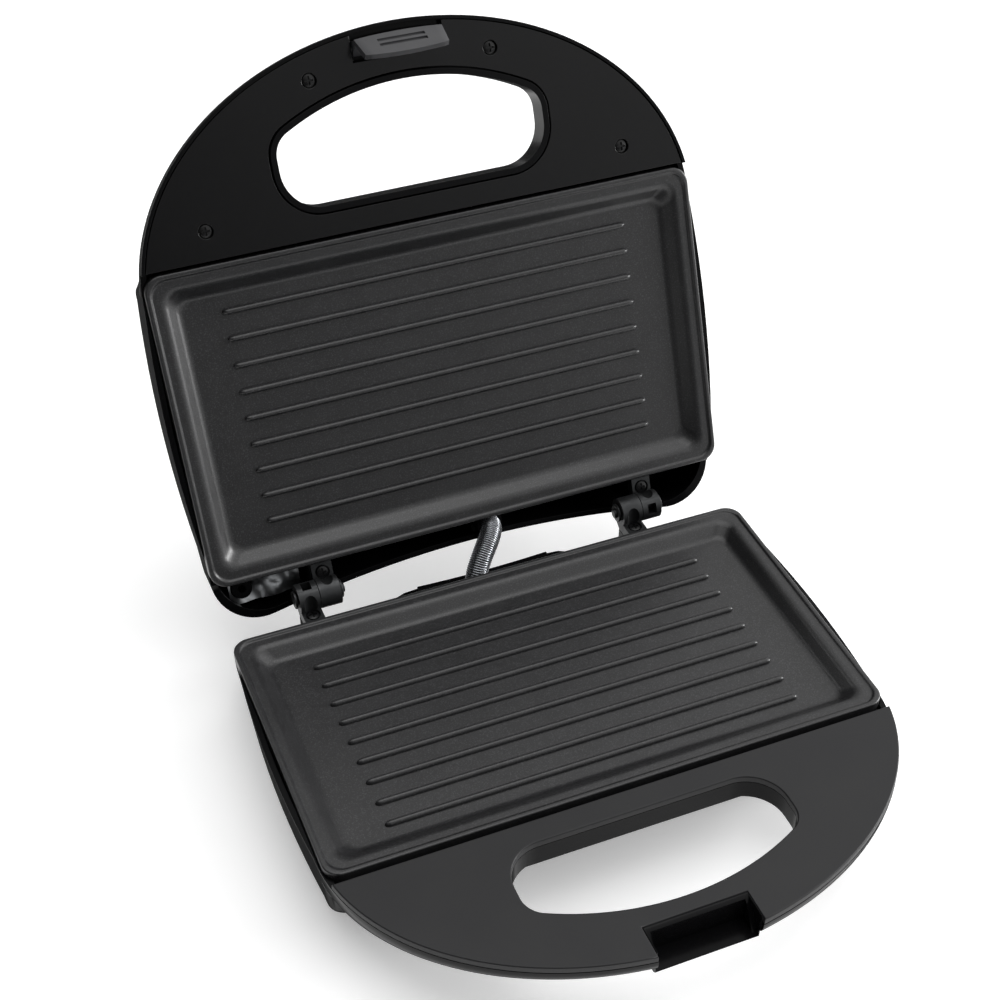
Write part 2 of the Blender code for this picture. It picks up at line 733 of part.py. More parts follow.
def lid_casing(frame, paint, helper):
    body = casing("lid", frame, paint, helper)
    bosses = tool("lid_cover_bosses", cover_bosses(), frame, helper)
    join(body, bosses)
    cut(body, tool("lid_latch_bay", latch_bay(), frame, helper))
    pin_bore = bmesh.new()
    ends = [place(across, LATCH_PIVOT_REACH, LATCH_PIVOT_DEPTH) for across in latch_pin_span()]
    add_rod(pin_bore, *ends, LATCH_PIN_RADIUS + SEAM)
    cut(body, tool("lid_latch_pin_bore", pin_bore, frame, helper))
    holes = bmesh.new()
    for across, reach in cover_screw_places():
        add_post(holes, across, reach, 0.0, SLAB_DEPTH - SHELL_WALL / 2, SHANK_RADIUS + SEAM)
    for side, leaf in LEAVES:
        middle = sum(leaf_span(side, leaf)) / 2
        deep = LEAF_SCREW_LENGTH + LEAF_TOP + SEAM
        add_post(holes, middle, LEAF_SCREW_REACH, 0.0, deep, SHANK_RADIUS + SEAM)
    for side in (-1, 1):
        add_post(holes, side * LAMP_PITCH / 2, lamp_reach(), SLAB_DEPTH - 2 * SHELL_WALL,
                 SHELL_DEPTH + OVERCUT, LAMP_RADIUS + SEAM, FINE_SIDES)
    cut(body, tool("lid_holes", holes, frame, helper))
    return body


def lamp_reach():
    """The two lamps sit in the flat of the casing just behind the handle opening."""
    return PLATE_FRONT - SHELL_BOTTOM_ROUND - LAMP_PITCH


def latch_bay():
    """The slot in the tip of the lid that the latch swings in, bowed like the tip."""
    room = LATCH_HALF_WIDTH + LATCH_ROOM
    half_width = side_edge(FRONT_START) - LATCH_BAY_LIP
    length = TIP_REACH - LATCH_BAY_LIP - FRONT_START
    right = [(0.0, LATCH_BAY_REAR), (room, LATCH_BAY_REAR)]
    for step in range(4, -1, -1):
        across = room * step / 4
        right.append((across, FRONT_START + length * math.sqrt(1 - (across / half_width) ** 2)))
    return prism(mirrored(right), -OVERCUT, LATCH_BAY_DEPTH)


def latch_pin_span():
    """Places across of the pin's ends, each sunk into a cheek of the slot."""
    end = LATCH_HALF_WIDTH + LATCH_ROOM + LATCH_CHEEK - SHELL_WALL / 2
    return -end, end


# Handle covers


def cover_outline(drawn_in):
    """The flat cover of the handle: straight at the plate, round at the tip."""
    half_width = side_edge(FRONT_START) - SHELL_WALL - COVER_SEAM - drawn_in
    reach = TIP_REACH - SHELL_WALL - COVER_SEAM - drawn_in
    back = COVER_BACK + drawn_in
    start = math.asin((back - FRONT_START) / (reach - FRONT_START))
    right = []
    for step in range(FRONT_STEPS + 1):
        angle = start + (math.pi / 2 - start) * step / FRONT_STEPS
        across = half_width * max(math.cos(angle), 0.0)
        right.append((across, FRONT_START + (reach - FRONT_START) * math.sin(angle)))
    return mirrored([(0.0, back)] + right)


def cover(half, frame, paint, helper):
    """The handle's flat cover, with eased edges and the opening through it."""
    lid = half == "lid"
    rings = []
    for depth, drawn_in in (
        (COVER_DROP, COVER_ROUND),
        (COVER_DROP + COVER_ROUND * EASE_SHARE, COVER_ROUND * EASE_SHARE),
        (COVER_DROP + COVER_ROUND, 0.0),
        (COVER_DROP + COVER_METAL, 0.0),
    ):
        rings.append([place(x, s, depth) for x, s in cover_outline(drawn_in)])
    body = add(half + "_handle_cover", skin(rings), frame, paint)
    grow = COVER_LIP + COVER_SEAM if lid else 0.0
    hole = prism(grip_outline(grow), -OVERCUT, SLAB_DEPTH)
    if not lid:
        bosses = bmesh.new()
        for across, reach in cover_screw_places():
            if reach == FRONT_SCREW_REACH:
                low = SLAB_DEPTH - SHELL_WALL - SEAM
                add_post(bosses, across, reach, COVER_DROP + COVER_METAL / 2, low, BOSS_RADIUS)
        join(body, tool("base_cover_bosses", bosses, frame, helper))
    cut(body, tool(half + "_cover_grip", hole, frame, helper))
    holes = bmesh.new()
    for across, reach in cover_screw_places():
        if lid:
            add_post(holes, across, reach, 0.0, COVER_DROP + HEAD_HEIGHT + SEAM,
                     HEAD_RADIUS + SEAM, FINE_SIDES)
        elif reach == FRONT_SCREW_REACH:
            top = SLAB_DEPTH + SEAM - COVER_SCREW_LENGTH - SEAM
            add_post(holes, across, reach, top, SLAB_DEPTH, SHANK_RADIUS + SEAM)
    if lid:
        through = bmesh.new()
        for across, reach in cover_screw_places():
            add_post(through, across, reach, 0.0, SLAB_DEPTH, SHANK_RADIUS + SEAM)
        cut(body, tool("lid_cover_shank_holes", through, frame, helper))
        cut(body, tool("lid_cover_bay", latch_bay(), frame, helper))
    else:
        cut(body, notch("base_cover_notch", frame, helper))
        cut(body, catch_pocket("base_cover_pocket", frame, helper))
    cut(body, tool(half + "_cover_holes", holes, frame, helper))
    return body


# Cooking plates


def rounded_box(half_width, rear, front, corner, steps=4):
    """A rounded rectangle as (across, reach) pairs."""
    right = [(0.0, rear)]
    right += arc((half_width - corner, rear + corner), corner, -90, 0, steps)
    right += arc((half_width - corner, front - corner), corner, 0, 90, steps)
    right.append((0.0, front))
    return mirrored(right)


def plate_ring(depth, drawn_in):
    corner = max(PLATE_CORNER - drawn_in / 2, PLATE_CORNER / 3)
    rear = PLATE_SETBACK + drawn_in
    front = PLATE_FRONT - drawn_in
    outline = rounded_box(PLATE_WIDTH / 2 - drawn_in, rear, front, corner)
    return [place(x, s, depth) for x, s in outline]


def plate_floor():
    return PLATE_DROP + PLATE_SINK


def grill_plate(half, frame, paint, helper):
    """A cast plate: stepped rim, sloping wall, sunk floor with ribs, studs underneath."""
    wall_foot = PLATE_RIM + PLATE_WALL_RUN
    sections = (
        (plate_floor(), wall_foot),
        (plate_floor() - PLATE_STEP, wall_foot - PLATE_STEP * 2),
        (PLATE_DROP + PLATE_STEP * 2, PLATE_RIM + PLATE_STEP),
        (PLATE_DROP + PLATE_STEP, PLATE_RIM),
        (PLATE_DROP + PLATE_STEP, PLATE_RIM / 2),
        (PLATE_DROP, PLATE_RIM / 2 - PLATE_STEP),
        (PLATE_DROP, PLATE_EDGE_ROUND),
        (PLATE_DROP + PLATE_EDGE_ROUND * EASE_SHARE, PLATE_EDGE_ROUND * EASE_SHARE),
        (PLATE_DROP + PLATE_EDGE_ROUND, 0.0),
        (PLATE_DROP + PLATE_SKIRT, 0.0),
        (PLATE_DROP + PLATE_SKIRT, PLATE_METAL),
        (PLATE_DROP + PLATE_METAL + PLATE_STEP, PLATE_METAL),
        (PLATE_DROP + PLATE_METAL + PLATE_STEP, PLATE_RIM),
        (plate_floor() + PLATE_METAL, wall_foot + PLATE_STEP),
    )
    body = add(half + "_grill_plate", skin([plate_ring(*row) for row in sections]), frame, paint)
    ribs = bmesh.new()
    for number in range(RIB_COUNT):
        add_rib(ribs, PLATE_SETBACK + RIB_FIRST + number * RIB_PITCH)
    join(body, tool(half + "_ribs", ribs, frame, helper))
    studs = bmesh.new()
    middle = PLATE_SETBACK + PLATE_LENGTH / 2
    top = plate_floor() + PLATE_METAL / 2
    for side in (-1, 1):
        add_post(studs, side * STUD_ACROSS, middle, top, SHIELD_DEPTH - SEAM, STUD_RADIUS, FINE_SIDES)
    join(body, tool(half + "_studs", studs, frame, helper))
    holes = bmesh.new()
    for side in (-1, 1):
        start = SHIELD_DEPTH + SHIELD_METAL + SEAM - PLATE_SCREW_LENGTH - SEAM
        add_post(holes, side * STUD_ACROSS, middle, start, SHIELD_DEPTH + SEAM, SHANK_RADIUS + SEAM)
    cut(body, tool(half + "_stud_holes", holes, frame, helper))
    return body


def add_rib(mesh, reach):
    """A low ridge with pointed ends, its foot sunk a little into the floor."""
    half_length = RIB_LENGTH / 2
    half_width = RIB_WIDTH / 2
    foot = plate_floor() + PLATE_METAL / 3
    crest = plate_floor() - RIB_HEIGHT
    shoulder = half_length - RIB_POINT
    low = [(-half_length, 0.0), (-shoulder, -half_width), (shoulder, -half_width),
           (half_length, 0.0), (shoulder, half_width), (-shoulder, half_width)]
    rows = []
    for depth, spread in ((foot, 1.0), (plate_floor(), 1.0), (crest, RIB_CREST_SHARE)):
        ring = []
        for across, aside in low:
            drawn = across - math.copysign(RIB_POINT * (1 - spread) / 2, across)
            ring.append(mesh.verts.new(place(drawn, reach + aside * spread, depth)))
        rows.append(ring)
    mesh.faces.new(rows[0])
    mesh.faces.new(reversed(rows[-1]))
    for upper, lower in zip(rows, rows[1:]):
        for here in range(len(upper)):
            after = (here + 1) % len(upper)
            mesh.faces.new((upper[here], lower[here], lower[after], upper[after]))


def tube(name, points, radius, frame, paint, detail):
    """A round tube along a list of points."""
    line = bpy.data.curves.new(name, "CURVE")
    line.dimensions = "3D"
    line.bevel_depth = radius
    line.bevel_resolution = detail
    line.use_fill_caps = True
    spline = line.splines.new("POLY")
    spline.points.add(len(points) - 1)
    for slot, point in zip(spline.points, points):
        slot.co = (*point, 1.0)
    line.materials.append(paint)
    piece = bpy.data.objects.new(name, line)
    bpy.context.collection.objects.link(piece)
    piece.parent = frame
    return piece


def heating_element(half, frame, paint):
    """A sheathed element bent into a loop under the plate, its tails turned down."""
    depth = plate_floor() + PLATE_METAL + SEAM + ELEMENT_RADIUS
    half_width = ELEMENT_HALF_WIDTH - ELEMENT_BEND
    front_centre = ELEMENT_FRONT_REACH - ELEMENT_BEND
    rear_centre = ELEMENT_REAR_REACH + ELEMENT_BEND
    plan = [(ELEMENT_END_ACROSS, ELEMENT_REAR_REACH)]
    plan += arc((half_width, rear_centre), ELEMENT_BEND, -90, 0, BEND_STEPS)
    plan += arc((half_width, front_centre), ELEMENT_BEND, 0, 90, BEND_STEPS)
    plan += arc((-half_width, front_centre), ELEMENT_BEND, 90, 180, BEND_STEPS)
    plan += arc((-half_width, rear_centre), ELEMENT_BEND, 180, 270, BEND_STEPS)
    plan.append((-ELEMENT_END_ACROSS, ELEMENT_REAR_REACH))
    points = [place(x, s, depth) for x, s in plan]
    turn = ELEMENT_RADIUS + ELEMENT_RADIUS / 2
    sunk = turn - turn * DIAGONAL_SHARE
    for side, ends in ((1, 0), (-1, len(points))):
        low = place(side * (ELEMENT_END_ACROSS - turn), ELEMENT_REAR_REACH, depth + turn)
        bend = side * (ELEMENT_END_ACROSS - turn * DIAGONAL_SHARE)
        half_way = place(bend, ELEMENT_REAR_REACH, depth + sunk)
        tail = [low, half_way] if side > 0 else [half_way, low]
        points[ends:ends] = tail
    return tube(half + "_heating_element", points, ELEMENT_RADIUS, frame, paint, 2)


def heat_shield(half, frame, paint, helper):
    """A thin pan of bright sheet between the element and the casing."""
    def ring(depth, drawn_in):
        outline = rounded_box(
            SHIELD_HALF_WIDTH - drawn_in, SHIELD_REAR + drawn_in, SHIELD_FRONT - drawn_in, SHIELD_CORNER)
        return [place(x, s, depth) for x, s in outline]

    body = add(half + "_heat_shield", skin([
        ring(SHIELD_DEPTH, SHIELD_METAL), ring(SHIELD_RIM_DEPTH, SHIELD_METAL),
        ring(SHIELD_RIM_DEPTH, 0.0), ring(SHIELD_DEPTH + SHIELD_METAL, 0.0),
    ]), frame, paint)
    ears = bmesh.new()
    for side in (-1, 1):
        low, high = sorted((side * EAR_INNER, side * EAR_OUTER))
        add_block(ears, (low, high), (EAR_REAR, SHIELD_REAR + SHIELD_METAL / 2),
                  (SHIELD_RIM_DEPTH + SHIELD_METAL, SHIELD_RIM_DEPTH + 2 * SHIELD_METAL))
    join(body, tool(half + "_shield_ears", ears, frame, helper))
    holes = bmesh.new()
    middle = PLATE_SETBACK + PLATE_LENGTH / 2
    for side in (-1, 1):
        add_post(holes, side * STUD_ACROSS, middle, SHIELD_RIM_DEPTH, SHELL_DEPTH, SHANK_RADIUS + SEAM)
    cut(body, tool(half + "_shield_holes", holes, frame, helper))
    return body


# Fasteners


def screw(name, across, reach, head_depth, length, into, frame, paint, helper):
    """A cross-head screw whose head stands at head_depth; into is 1 when it goes deeper, or -1."""
    along = Vector((0.0, 0.0, -into))
    top = place(across, reach, head_depth)
    profile = (
        (0.0, 0.0),
        (0.0, HEAD_RADIUS),
        (HEAD_HEIGHT, HEAD_RADIUS),
        (HEAD_HEIGHT, SHANK_RADIUS),
        (length, SHANK_RADIUS),
        (length, 0.0),
    )
    body = add(name, turned(profile, top, along, SCREW_SIDES), frame, paint)
    cross = bmesh.new()
    long_side = CROSS_LENGTH / 2
    thin = CROSS_WIDTH / 2
    outline = [
        (thin, thin), (long_side, thin), (long_side, -thin), (thin, -thin),
        (thin, -long_side), (-thin, -long_side), (-thin, -thin), (-long_side, -thin),
        (-long_side, thin), (-thin, thin), (-thin, long_side), (thin, long_side),
    ]
    for depth in (-OVERCUT, CROSS_DEPTH):
        for x, s in outline:
            cross.verts.new(place(across + x, reach + s, head_depth + depth * into))
    cross.verts.ensure_lookup_table()
    count = len(outline)
    cross.faces.new(cross.verts[:count])
    cross.faces.new(reversed(cross.verts[count:]))
    for here in range(count):
        after = (here + 1) % count
        corners = (here, here + count, after + count, after)
        cross.faces.new([cross.verts[corner] for corner in corners])
    cut(body, tool(name + "_cross", cross, frame, helper))
    return body


# Hinges


def hinge_leaf(name, side, leaf, frame, paint, helper):
    """Half a hinge: a barrel round the pin, running into a foot screwed to the casing."""
    inner, outer = leaf_span(side, leaf)
    barrel = [(-s, -d) for s, d in arc((0.0, 0.0), BARREL_RADIUS, 0, 360, FINE_SIDES)[:-1]]
    body = add(name, side_prism(barrel, inner, outer), frame, paint)
    foot_outline = [
        (-BARREL_RADIUS * DIAGONAL_SHARE, 0.0),
        (LEAF_NECK, 0.0),
        (LEAF_NECK_FOOT, LEAF_TOP),
        (LEAF_FRONT, LEAF_TOP),
        (LEAF_FRONT, LEAF_BOTTOM),
        (POST_REAR, LEAF_BOTTOM),
        (-BARREL_RADIUS * DIAGONAL_SHARE, BARREL_RADIUS * DIAGONAL_SHARE),
    ]
    foot = side_prism(foot_outline, inner + SEAM / 4, outer - SEAM / 4)
    join(body, tool(name + "_foot", foot, frame, helper))
    openings = bmesh.new()
    reach_past = Vector((OVERCUT, 0.0, 0.0))
    add_rod(openings, Vector((inner, 0.0, 0.0)) - reach_past, Vector((outer, 0.0, 0.0)) + reach_past,
            PIN_RADIUS + SEAM, FINE_SIDES)
    cut(body, tool(name + "_bore", openings, frame, helper))
    middle = (inner + outer) / 2
    if leaf == "knuckle":
        window = bmesh.new()
        add_block(window, (middle - WINDOW_WIDTH / 2, middle + WINDOW_WIDTH / 2),
                  (-BARREL_RADIUS - OVERCUT, BARREL_RADIUS), (-BARREL_RADIUS - OVERCUT, WINDOW_HEIGHT / 3))
        cut(body, tool(name + "_window", window, frame, helper))
    seat = bmesh.new()
    add_post(seat, middle, LEAF_SCREW_REACH, 0.0, LEAF_BOTTOM + OVERCUT, SHANK_RADIUS + SEAM)
    cut(body, tool(name + "_screw_hole", seat, frame, helper))
    head_room = bmesh.new()
    add_post(head_room, middle, LEAF_SCREW_REACH, -BARREL_RADIUS, LEAF_TOP + HEAD_HEIGHT,
             HEAD_RADIUS + 2 * SEAM, FINE_SIDES)
    cut(body, tool(name + "_head_room", head_room, frame, helper))
    return body


def hinge_pin(name, side, frame, paint):
    """A headed pin through both leaves, its head outside."""
    start = Vector((side * (KNUCKLE_OUTER + SEAM + PIN_HEAD), 0.0, 0.0))
    inner_end = ARM_INNER - 2 * CLIP_THICKNESS - SEAM
    profile = (
        (0.0, 0.0),
        (0.0, PIN_HEAD_RADIUS - EASED),
        (EASED, PIN_HEAD_RADIUS),
        (PIN_HEAD, PIN_HEAD_RADIUS),
        (PIN_HEAD, PIN_RADIUS),
        (abs(start.x) - inner_end, PIN_RADIUS),
        (abs(start.x) - inner_end, 0.0),
    )
    return add(name, turned(profile, start, Vector((-side, 0.0, 0.0))), frame, paint)


def hinge_clip(name, side, frame, paint):
    """The ring that keeps the pin in, against the inner leaf."""
    start = Vector((side * (ARM_INNER - SEAM), 0.0, 0.0))
    bore = PIN_RADIUS + SEAM
    profile = (
        (0.0, bore),
        (0.0, CLIP_RADIUS),
        (CLIP_THICKNESS, CLIP_RADIUS),
        (CLIP_THICKNESS, bore),
    )
    return add(name, turned(profile, start, Vector((-side, 0.0, 0.0))), frame, paint)


# Wire conduit


def lid_point(across, reach, depth):
    """A point of the open lid, in the frame of the hinge."""
    turn = Matrix.Rotation(-OPEN_ANGLE, 3, "X")
    return turn @ Vector((across, -reach, depth))


def conduit_route(steps):
    """Points, directions and side directions of the conduit: out of each casing square, one bow between."""
    start = place(CONDUIT_BASE_ACROSS, CONDUIT_REACH, CONDUIT_DEPTH)
    end = lid_point(CONDUIT_LID_ACROSS, CONDUIT_REACH, CONDUIT_DEPTH)
    up = Vector((0.0, 0.0, 1.0))
    into_lid = lid_point(0.0, 0.0, CONDUIT_DEPTH).normalized()
    start += up * SEAM
    end -= into_lid * SEAM
    handles = (start, start + up * CONDUIT_BOW, end - into_lid * CONDUIT_BOW, end)
    route = []
    for step in range(steps + 1):
        share = step / steps
        back = 1 - share
        point = (back**3 * handles[0] + 3 * back**2 * share * handles[1]
                 + 3 * back * share**2 * handles[2] + share**3 * handles[3])
        along = (back**2 * (handles[1] - handles[0]) + 2 * back * share * (handles[2] - handles[1])
                 + share**2 * (handles[3] - handles[2])).normalized()
        route.append((point, along))
    return route


def coil_points():
    """A coil wound round the route, straight for one wire's thickness at each end."""
    route = conduit_route(200)
    lengths = [0.0]
    for (here, _), (after, _) in zip(route, route[1:]):
        lengths.append(lengths[-1] + (after - here).length)
    radius = COIL_RADIUS - COIL_WIRE_RADIUS
    straight = 2 * COIL_WIRE_RADIUS
    curls = int((lengths[-1] - 2 * straight) / COIL_PITCH)
    total = curls * COIL_POINTS
    aside = Vector((1.0, 0.0, 0.0))

    def at(length, angle):
        slot = min(range(len(route)), key=lambda index: abs(lengths[index] - length))
        point, along = route[slot]
        near = (aside - along * aside.dot(along)).normalized()
        return point + near * radius * math.cos(angle) + along.cross(near) * radius * math.sin(angle)

    points = [at(0.0, 0.0)]
    for step in range(total + 1):
        climb = straight + (lengths[-1] - 2 * straight) * step / total
        points.append(at(climb, math.tau * step / COIL_POINTS))
    points.append(at(lengths[-1], 0.0))
    return points, curls


def least_coil_gap(points):
    """The least distance from the wire to itself, past half a turn, surface to surface."""
    least = math.inf
    for here, point in enumerate(points):
        for other in points[here + COIL_POINTS // 2:]:
            least = min(least, (other - point).length)
    return least - 2 * COIL_WIRE_RADIUS


def conduit(base_frame, lid_frame, steel, dark):
    """The coil and the sleeve inside it, which carry the lid's wires over the hinge."""
    points, curls = coil_points()
    print("conduit_spring curls", curls, "least gap to itself in metres", round(least_coil_gap(points), 6))
    tube("conduit_spring", points, COIL_WIRE_RADIUS, base_frame, steel, 1)
    route = conduit_route(10)
    sleeve = [point for point, _ in route]
    sleeve.insert(1, sleeve[0] + route[0][1] * SLEEVE_STRAIGHT)
    sleeve.insert(-1, sleeve[-1] - route[-1][1] * SLEEVE_STRAIGHT)
    tube("conduit_sleeve", sleeve, SLEEVE_RADIUS, base_frame, dark, 2)
    profile = (
        (0.0, COIL_RADIUS / 2),
        (0.0, BUSHING_RADIUS - EASED),
        (EASED, BUSHING_RADIUS),
        (BUSHING_LENGTH, BUSHING_RADIUS),
        (BUSHING_LENGTH, COIL_RADIUS / 2),
    )
    down = Vector((0.0, 0.0, -1.0))
    for half, frame in (("base", base_frame), ("lid", lid_frame)):
        top = place(conduit_across(half), CONDUIT_REACH, CONDUIT_DEPTH)
        add("conduit_bushing_" + half, turned(profile, top, down), frame, dark)


def conduit_across(half):
    """Place across of a half's bushing in its own frame; the lid's frame is turned over."""
    return CONDUIT_BASE_ACROSS if half == "base" else -CONDUIT_LID_ACROSS


def bushing_boss(half, body, frame, helper):
    """The block of the casing that grips a conduit bushing."""
    middle = conduit_across(half)
    half_width = BUSHING_RADIUS + BUSHING_BOSS_MARGIN
    block = bmesh.new()
    add_block(block, (middle - half_width, middle + half_width), (POST_REAR, CONDUIT_REACH + half_width),
              (CONDUIT_DEPTH + BUSHING_PROUD, SHELL_DEPTH - SHELL_WALL / 2))
    boss = tool(half + "_bushing_boss", block, frame, helper)
    keep_inside(boss, frame, helper)
    join(body, boss)
    bore = bmesh.new()
    add_post(bore, middle, CONDUIT_REACH, 0.0, CONDUIT_DEPTH + BUSHING_LENGTH + SEAM,
             BUSHING_RADIUS + SEAM, FINE_SIDES)
    cut(body, tool(half + "_bushing_bore", bore, frame, helper))


# Latch


def latch(name, frame, paint, helper):
    """The snap latch: an eye on the pin and a tapering tongue with two finger grooves."""
    def at(reach, depth):
        return (reach - LATCH_PIVOT_REACH, depth - LATCH_PIVOT_DEPTH)

    eye = LATCH_EYE_RADIUS
    eye_aside = eye * DIAGONAL_SHARE
    outline = [
        at(LATCH_TIP_REACH, -LATCH_TIP_RISE),
        at(LATCH_FACE_REACH, -LATCH_FACE_RISE),
        at(LATCH_PIVOT_REACH + eye, SHELL_RIM),
        at(LATCH_PIVOT_REACH + eye, LATCH_PIVOT_DEPTH),
        at(LATCH_PIVOT_REACH + eye_aside, LATCH_PIVOT_DEPTH + eye_aside),
        at(LATCH_PIVOT_REACH, LATCH_PIVOT_DEPTH + eye),
        at(LATCH_PIVOT_REACH - eye_aside, LATCH_PIVOT_DEPTH + eye_aside),
        at(LATCH_PIVOT_REACH - eye, LATCH_PIVOT_DEPTH),
        at(LATCH_PIVOT_REACH - eye, SHELL_RIM),
        at(LATCH_FACE_REACH - LATCH_METAL, -LATCH_FACE_RISE),
        at(LATCH_TIP_REACH - LATCH_TIP_METAL, -LATCH_TIP_RISE),
    ]
    narrowing = (LATCH_HALF_WIDTH - LATCH_TIP_HALF_WIDTH) / (LATCH_TIP_RISE - LATCH_FACE_RISE)
    rings = []
    for side in (-1, 1):
        ring = []
        for reach, depth in outline:
            past_face = max(-LATCH_FACE_RISE - LATCH_PIVOT_DEPTH - depth, 0.0)
            ring.append(place(side * (LATCH_HALF_WIDTH - narrowing * past_face), reach, depth))
        rings.append(ring)
    body = add(name, skin(rings), frame, paint)
    bore = bmesh.new()
    past = Vector((LATCH_HALF_WIDTH + OVERCUT, 0.0, 0.0))
    add_rod(bore, -past, past, LATCH_PIN_RADIUS + SEAM)
    cut(body, tool(name + "_bore", bore, frame, helper))
    grooves = bmesh.new()
    face = Vector(at(LATCH_TIP_REACH, -LATCH_TIP_RISE)) - Vector(at(LATCH_FACE_REACH, -LATCH_FACE_RISE))
    for number in (1, 2):
        centre = Vector(at(LATCH_FACE_REACH, -LATCH_FACE_RISE))
        centre += face.normalized() * (face.length / 3 + (number - 1) * LATCH_GROOVE_PITCH)
        half_length = LATCH_GROOVE_LENGTH / 2
        add_rod(grooves, place(-half_length, *centre), place(half_length, *centre),
                LATCH_GROOVE_WIDTH / 2, SCREW_SIDES)
    cut(body, tool(name + "_grooves", grooves, frame, helper))
    return body


def latch_pin(frame, paint):
    mesh = bmesh.new()
    ends = [place(across, LATCH_PIVOT_REACH, LATCH_PIVOT_DEPTH) for across in latch_pin_span()]
    inset = (ends[1] - ends[0]).normalized() * SEAM
    add_rod(mesh, ends[0] + inset, ends[1] - inset, LATCH_PIN_RADIUS)
    return add("latch_pin", mesh, frame, paint)


# Feet and electrical parts


def foot(name, across, reach, frame, paint):
    """A rubber foot: a pad with a peg pressed up into the floor."""
    top = place(across, reach, SHELL_DEPTH - SHELL_WALL)
    pad = SHELL_WALL + SEAM
    end = SHELL_WALL + FOOT_HEIGHT
    profile = (
        (0.0, 0.0),
        (0.0, FOOT_PEG_RADIUS),
        (pad, FOOT_PEG_RADIUS),
        (pad, FOOT_RADIUS),
        (end - FOOT_CHAMFER, FOOT_RADIUS),
        (end, FOOT_RADIUS - FOOT_CHAMFER),
        (end, 0.0),
    )
    return add(name, turned(profile, top, Vector((0.0, 0.0, -1.0))), frame, paint)


def thermostat(frame, paint):
    """The disc thermostat, clamped under the heat shield."""
    top = place(THERMOSTAT_ACROSS, THERMOSTAT_REACH, SHIELD_DEPTH + SHIELD_METAL + SEAM)
    profile = (
        (0.0, 0.0),
        (0.0, THERMOSTAT_RADIUS),
        (THERMOSTAT_SHOULDER, THERMOSTAT_RADIUS),
        (THERMOSTAT_SHOULDER, THERMOSTAT_CAP_RADIUS),
        (THERMOSTAT_HEIGHT, THERMOSTAT_CAP_RADIUS),
        (THERMOSTAT_HEIGHT, 0.0),
    )
    return add("thermostat", turned(profile, top, Vector((0.0, 0.0, -1.0))), frame, paint)


def thermal_fuse(frame, paint):
    depth = SHIELD_DEPTH + SHIELD_METAL + SEAM + FUSE_RADIUS
    mesh = bmesh.new()
    add_rod(mesh, place(FUSE_ACROSS, FUSE_REACH, depth), place(FUSE_ACROSS + FUSE_LENGTH, FUSE_REACH, depth),
            FUSE_RADIUS)
    return add("thermal_fuse", mesh, frame, paint)


def terminal_block(frame, paint, helper):
    """The block that joins the mains lead to the inner wires, on the base's floor."""
    bottom = SHELL_DEPTH - SHELL_WALL - SEAM
    mesh = bmesh.new()
    add_block(mesh, (TERMINAL_ACROSS - TERMINAL_LENGTH / 2, TERMINAL_ACROSS + TERMINAL_LENGTH / 2),
              (TERMINAL_REACH - TERMINAL_WIDTH / 2, TERMINAL_REACH + TERMINAL_WIDTH / 2),
              (bottom - TERMINAL_HEIGHT, bottom))
    body = add("terminal_block", mesh, frame, paint)
    wells = bmesh.new()
    for number in (-1, 0, 1):
        add_post(wells, TERMINAL_ACROSS + number * TERMINAL_PITCH, TERMINAL_REACH,
                 bottom - TERMINAL_HEIGHT - OVERCUT, bottom - TERMINAL_HEIGHT / 2,
                 TERMINAL_HEIGHT / 4, SCREW_SIDES)
    cut(body, tool("terminal_wells", wells, frame, helper))
    return body


def cord_bushing(frame, paint):
    """The gland in the base's rear wall that the mains lead would leave by."""
    flange_reach = rear_edge(GLAND_ACROSS + GLAND_FLANGE_RADIUS) + REAR_TAPER / 2 - SEAM
    through = 2 * SHELL_WALL + GLAND_NOSE / 2
    start = place(GLAND_ACROSS, flange_reach + through, GLAND_DEPTH)
    profile = (
        (0.0, GLAND_BORE),
        (0.0, GLAND_RADIUS),
        (through, GLAND_RADIUS),
        (through, GLAND_FLANGE_RADIUS),
        (through + GLAND_FLANGE, GLAND_FLANGE_RADIUS),
        (through + GLAND_NOSE, GLAND_NOSE_RADIUS),
        (through + GLAND_NOSE, GLAND_BORE),
    )
    return add("cord_bushing", turned(profile, start, Vector((0.0, 1.0, 0.0))), frame, paint)


def lamp_parts(frame, red, green, holder):
    """The power and ready lamps' lenses in the lid's outer face, and the holder behind them."""
    reach = lamp_reach()
    top = SHELL_DEPTH - SHELL_WALL - 2 * SEAM
    for name, side, paint in (("lamp_lens_power", -1, red), ("lamp_lens_ready", 1, green)):
        start = place(side * LAMP_PITCH / 2, reach, top)
        profile = (
            (0.0, 0.0),
            (0.0, LAMP_RADIUS),
            (SHELL_WALL, LAMP_RADIUS),
            (SHELL_WALL + SEAM, LAMP_RADIUS - EASED),
            (SHELL_WALL + 2 * SEAM, LAMP_RADIUS / 2),
            (SHELL_WALL + 2 * SEAM, 0.0),
        )
        add(name, turned(profile, start, Vector((0.0, 0.0, -1.0))), frame, paint)
    mesh = bmesh.new()
    add_block(mesh, (-LAMP_PITCH, LAMP_PITCH), (reach - LAMP_PITCH / 3, reach + LAMP_PITCH / 3),
              (top - LAMP_PITCH / 2, top - SEAM))
    return add("lamp_holder", mesh, frame, holder)


# Assembly


